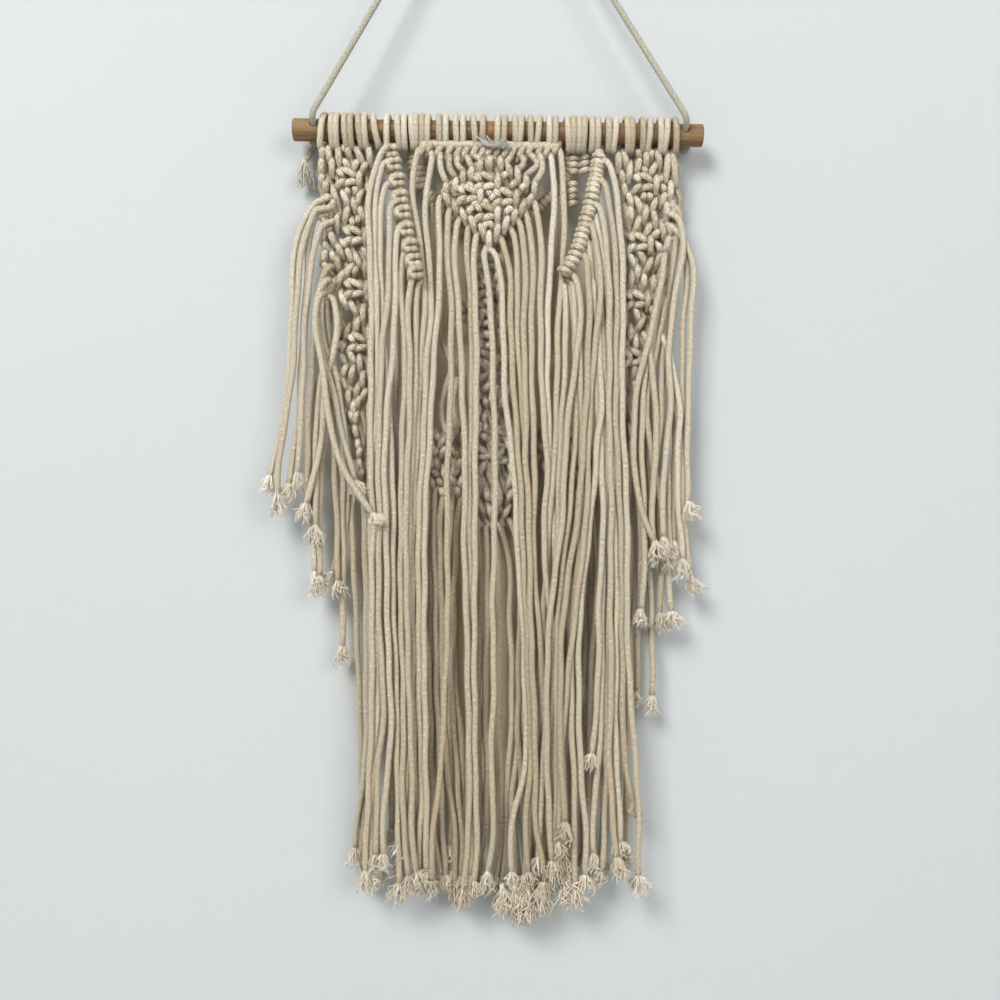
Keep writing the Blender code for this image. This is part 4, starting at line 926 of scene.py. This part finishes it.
def makeBandLeft(strands):
    skein = newSkein()
    addBandCore(skein, bandLeft)
    for x, drop in bandLeft["knots"]:
        out = float(np.interp(drop, bandLeft["drops"], bandLeft["out"]))
        addHitch(skein, x - 4.8, drop + 4.8, x - 3.6, drop - 4.8, out, 1.0, 1.0)
        for aside, shift in ((-1.9, -2.3), (2.1, -2.7), (-1.7, 2.7), (2.3, 2.3)):
            spotX, spotDrop = x + aside, drop + shift
            addHitch(skein, spotX - 2.3, spotDrop + 0.7, spotX + 2.3, spotDrop - 0.7, out + 0.4, 1.04, 0.6)
    addStrands(skein, strands)
    makePiece("bandLeft", skein, cottonBraid, "band_left")


def makeBandRight(strands):
    skein = newSkein()
    addBandCore(skein, bandRight)
    half, slant = bandRight["ribHalf"], bandRight["ribSlant"]
    for x, drop in bandRight["ribs"]:
        out = float(np.interp(drop, bandRight["drops"], bandRight["out"]))
        addHitch(skein, x - half, drop - slant, x + half, drop + slant, out, 1.02, 0.7)
    addStrands(skein, strands)
    makePiece("bandRight", skein, cottonBraid, "band_right")


def makeNetBack(strands):
    skein = newSkein()
    for wrapRange in netBack["wraps"]:
        addWraps(skein, *wrapRange)
    back = netBack["out"] - 3.0
    addUnderlay(skein, netBack["outline"], netBack["gaps"], back)
    addUnderlay(skein, netBack["wings"], netBack["gaps"], back - 0.5)
    for line in netBack["arms"]:
        route = smooth([(x, drop, -5.7) for x, drop in line], 3.7)
        addTube(skein, route, netBack["armRadius"])
        for spot, after in zip(route[:-1], route[1:]):
            step = (after - spot) / np.linalg.norm(after - spot)
            across = np.array((step[1], -step[0])) * netBack["armHalf"]
            start, end = spot[:2] - across, spot[:2] + across
            addHitch(skein, *start, *end, -4.6, 1.05, 0.8, 0.3)
    for x, first, last, ribs, half in netBack["stacks"]:
        for drop in np.linspace(first, last, ribs):
            addHitch(skein, x - half, drop + 0.8, x + half, drop - 0.8, -2.8, 1.02, 1.0)
    for line in netBack["loops"]:
        addTube(skein, smooth([(x, drop, -4.2) for x, drop in line], 4.0))
    addKnots(skein, netBack)
    addStrands(skein, strands)
    makePiece("netBack", skein, cottonBraid, "net_back")


# the hanging cord goes through both ends of the dowel and hangs from one point

hanging = {
    "holes": (-124.4, 126.5), "climb": 19, "radius": 2.1,  # the holes climb by these degrees
    "length": 0.534,  # in metres
    "knotRadius": 2.6, "knotCord": 1.9, "frayWidth": 6.5, "frayLength": 18.0,
    "tail": [(-126.6, 5, -12.4), (-128.2, 9, -11.6), (-130.8, 13, -10), (-132.8, 16.8, -8.5)],
}


def throughHole(x, along):
    climb = math.radians(hanging["climb"])
    return x, axisDrop(x) - along * math.sin(climb), along * math.cos(climb)


def makeHanging():
    left, right = hanging["holes"]
    peak = -dowelMiddle[0] / mm, dowelMiddle[2] / mm
    bends = {-1: (left + 6.4, -19.0, 13.8), 1: (right - 6.4, -15.4, 13.8)}
    straight = {}
    for away, bend in bends.items():
        top = np.array((peak[0] + away * 9.6, peak[1] + hanging["radius"] + 7.0, 0.0))
        straight[away] = [bend + (top - bend) * share for share in (0, 0.04, 0.5, 0.97, 1)]
    route = smooth([
        throughHole(left, -8.2), throughHole(left, 0), throughHole(left, 6), (left + 0.6, -8.6, 13.0),
        *straight[-1], (peak[0], peak[1] + hanging["radius"], 0), *straight[1][::-1],
        (right - 0.6, -5.0, 13.0), throughHole(right, 6), throughHole(right, 0),
        throughHole(right, -8.2)], 3.0)
    skein = newSkein()
    addTube(skein, route, hanging["radius"], 10, 0.5)
    cord = makePiece("hangingCord", skein, hangingBraid, "hanging_cord")
    path = place(route)
    length = float(np.linalg.norm(np.diff(path, axis=0), axis=1).sum())
    print(f"hanging cord: {length:.3f} m")
    knots = newSkein()
    for x, away in ((left, -1), (right, 1)):
        middle = np.array(throughHole(x, -12.8)) + (away * 1.9, 0, 0)
        for turn in range(3):
            lean = math.radians(60 * turn + 20)
            size = hanging["knotRadius"]
            ring = [middle + (size * math.cos(t) * math.cos(lean), size * math.sin(t),
                              size * math.cos(t) * math.sin(lean)) for t in np.linspace(0, 6.0, 9)]
            addTube(knots, smooth(ring, 2.6), hanging["knotCord"], 8, 0.48)
    knot = makePiece("hangingCordKnots", knots, hangingBraid, "hanging_cord_knot")
    tail = newSkein()
    line = smooth(hanging["tail"], 2.0)
    addTube(tail, line, hanging["radius"], 10, 0.45)
    addFray(tail, line[-1], np.array((0.1, 1.0, 0.1)), hanging["frayWidth"], hanging["frayLength"], 0.45, 46)
    tassel = makePiece("hangingCordTail", tail, hangingBraid, "hanging_cord_tail")


# a fluffy white thread lies over the wraps by the bare patch: a few loose strands and stray fibres
thread = {"line": [(-11, 6.5, 11.6), (-8.5, 9.5, 12.4), (-5, 11.8, 13.2), (-1, 12.5, 13.6), (3, 11, 13.6),
                   (6.5, 13, 13.2)], "strands": 9, "radius": 0.42, "spread": 1.5, "fibres": 150}


def makeThread():
    skein = newSkein()
    line = smooth(thread["line"], 1.5)
    for i in range(thread["strands"]):
        shift = random.normal(0, thread["spread"] / 2, (3, 3)) * (1, 1, 0.4)
        bend = np.linspace(-1, 1, len(line))[:, None]
        strand = line + shift[0] + shift[1] * bend + shift[2] * bend ** 2
        addTube(skein, strand, thread["radius"], 6, 0.6)
    for i in range(thread["fibres"]):
        spot = line[random.integers(0, len(line))] + random.normal(0, 0.6, 3)
        aside = random.normal(0, 1, 3) * (1, 1, 0.5)
        tip = spot + aside / np.linalg.norm(aside) * random.uniform(1.5, 3.6)
        addTube(skein, smooth([spot, (spot + tip) / 2 + random.normal(0, 0.4, 3), tip], 1.0), 0.16, 3, 0.8)
    makePiece("tieThread", skein, whiteThread, "tie_thread")


# oak dowel: straight grain along its length, fine dark pores, a bare warmer patch left of the middle

oak = {"light": "8C6C44", "dark": "553B1F", "patch": "85592F", "pores": "4A3520",
       "patchMiddle": -5.7, "patchWide": 7.0, "patchEdge": 1.5, "patchShare": 0.65,
       "grainFine": (14, 420, 420), "poresFine": (60, 1900, 1900)}  # to a metre: along, and twice across


def patchMiddle():  # the patch's place on the dowel's own coordinates, in metres
    spot = place([(oak["patchMiddle"], 0, 0)])[0]
    return float((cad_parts["dowel"].matrix_world.inverted() @ Vector(spot)).x)


def paintDowel():
    material, tree, shader = newMaterial("oiledOak", {"Roughness": 0.55})
    position = addNode(tree, "TexCoord").outputs["Object"]
    grainMap = addNode(tree, "VectorMath", {0: position, 1: oak["grainFine"]}, operation="MULTIPLY")
    grain = addNode(tree, "TexNoise", {"Vector": grainMap.outputs[0], "Scale": 1.0, "Detail": 5.0,
                                       "Distortion": 0.6})
    wood = addNode(tree, "ValToRGB", {"Fac": grain.outputs["Fac"]})
    wood.color_ramp.elements[0].color = linear(oak["dark"])
    wood.color_ramp.elements[0].position = 0.3
    wood.color_ramp.elements[1].color = linear(oak["light"])
    wood.color_ramp.elements[1].position = 0.68
    poreMap = addNode(tree, "VectorMath", {0: position, 1: oak["poresFine"]}, operation="MULTIPLY")
    pores = addNode(tree, "TexNoise", {"Vector": poreMap.outputs[0], "Scale": 1.0, "Detail": 1.0})
    poreShare = addNode(tree, "MapRange", {"Value": pores.outputs["Fac"], "From Min": 0.6, "From Max": 0.72})
    pored = addNode(tree, "Mix", {"Factor": poreShare.outputs["Result"], "A": wood.outputs["Color"],
                                  "B": linear(oak["pores"])}, data_type="RGBA")
    along = addNode(tree, "SeparateXYZ", {"Vector": position}).outputs["X"]
    patchAt = patchMiddle()
    away = addNode(tree, "Math", {0: along, 1: patchAt}, operation="SUBTRACT")
    away = addNode(tree, "Math", {0: away.outputs[0]}, operation="ABSOLUTE")
    half = oak["patchWide"] / 2
    patch = addNode(tree, "MapRange", {"Value": away.outputs[0], "From Min": half * mm,
                                       "From Max": (half + oak["patchEdge"]) * mm,
                                       "To Min": oak["patchShare"], "To Max": 0.0})
    warmed = addNode(tree, "Mix", {"Factor": patch.outputs["Result"], "A": pored.outputs["Result"],
                                   "B": linear(oak["patch"])}, data_type="RGBA")
    tree.links.new(warmed.outputs["Result"], shader.inputs["Base Color"])
    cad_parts["dowel"].data.materials.clear()
    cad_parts["dowel"].data.materials.append(material)


addCamera()
addLamps()
addRoom()
print("room done")
cottonBraid = makeCotton("braidedCotton", cotton)
hangingBraid = makeCotton("braidedHangingCord", hangingLook)
whiteThread = makeCotton("whiteThread", threadLook)
makeHanging()
addShadeCords(strandRows)
strands = easeApart(strandRows)
print("strands eased apart")
makeCentre(strands["centre"])
makeBandLeft(strands["bandLeft"])
makeBandRight(strands["bandRight"])
makeSide("netLeft", netLeft, strands["left"], "net_left")
makeSide("netRight", netRight, strands["right"], "net_right")
makeNetBack(strands["back"])
makeThread()
paintDowel()
print("pieces done")
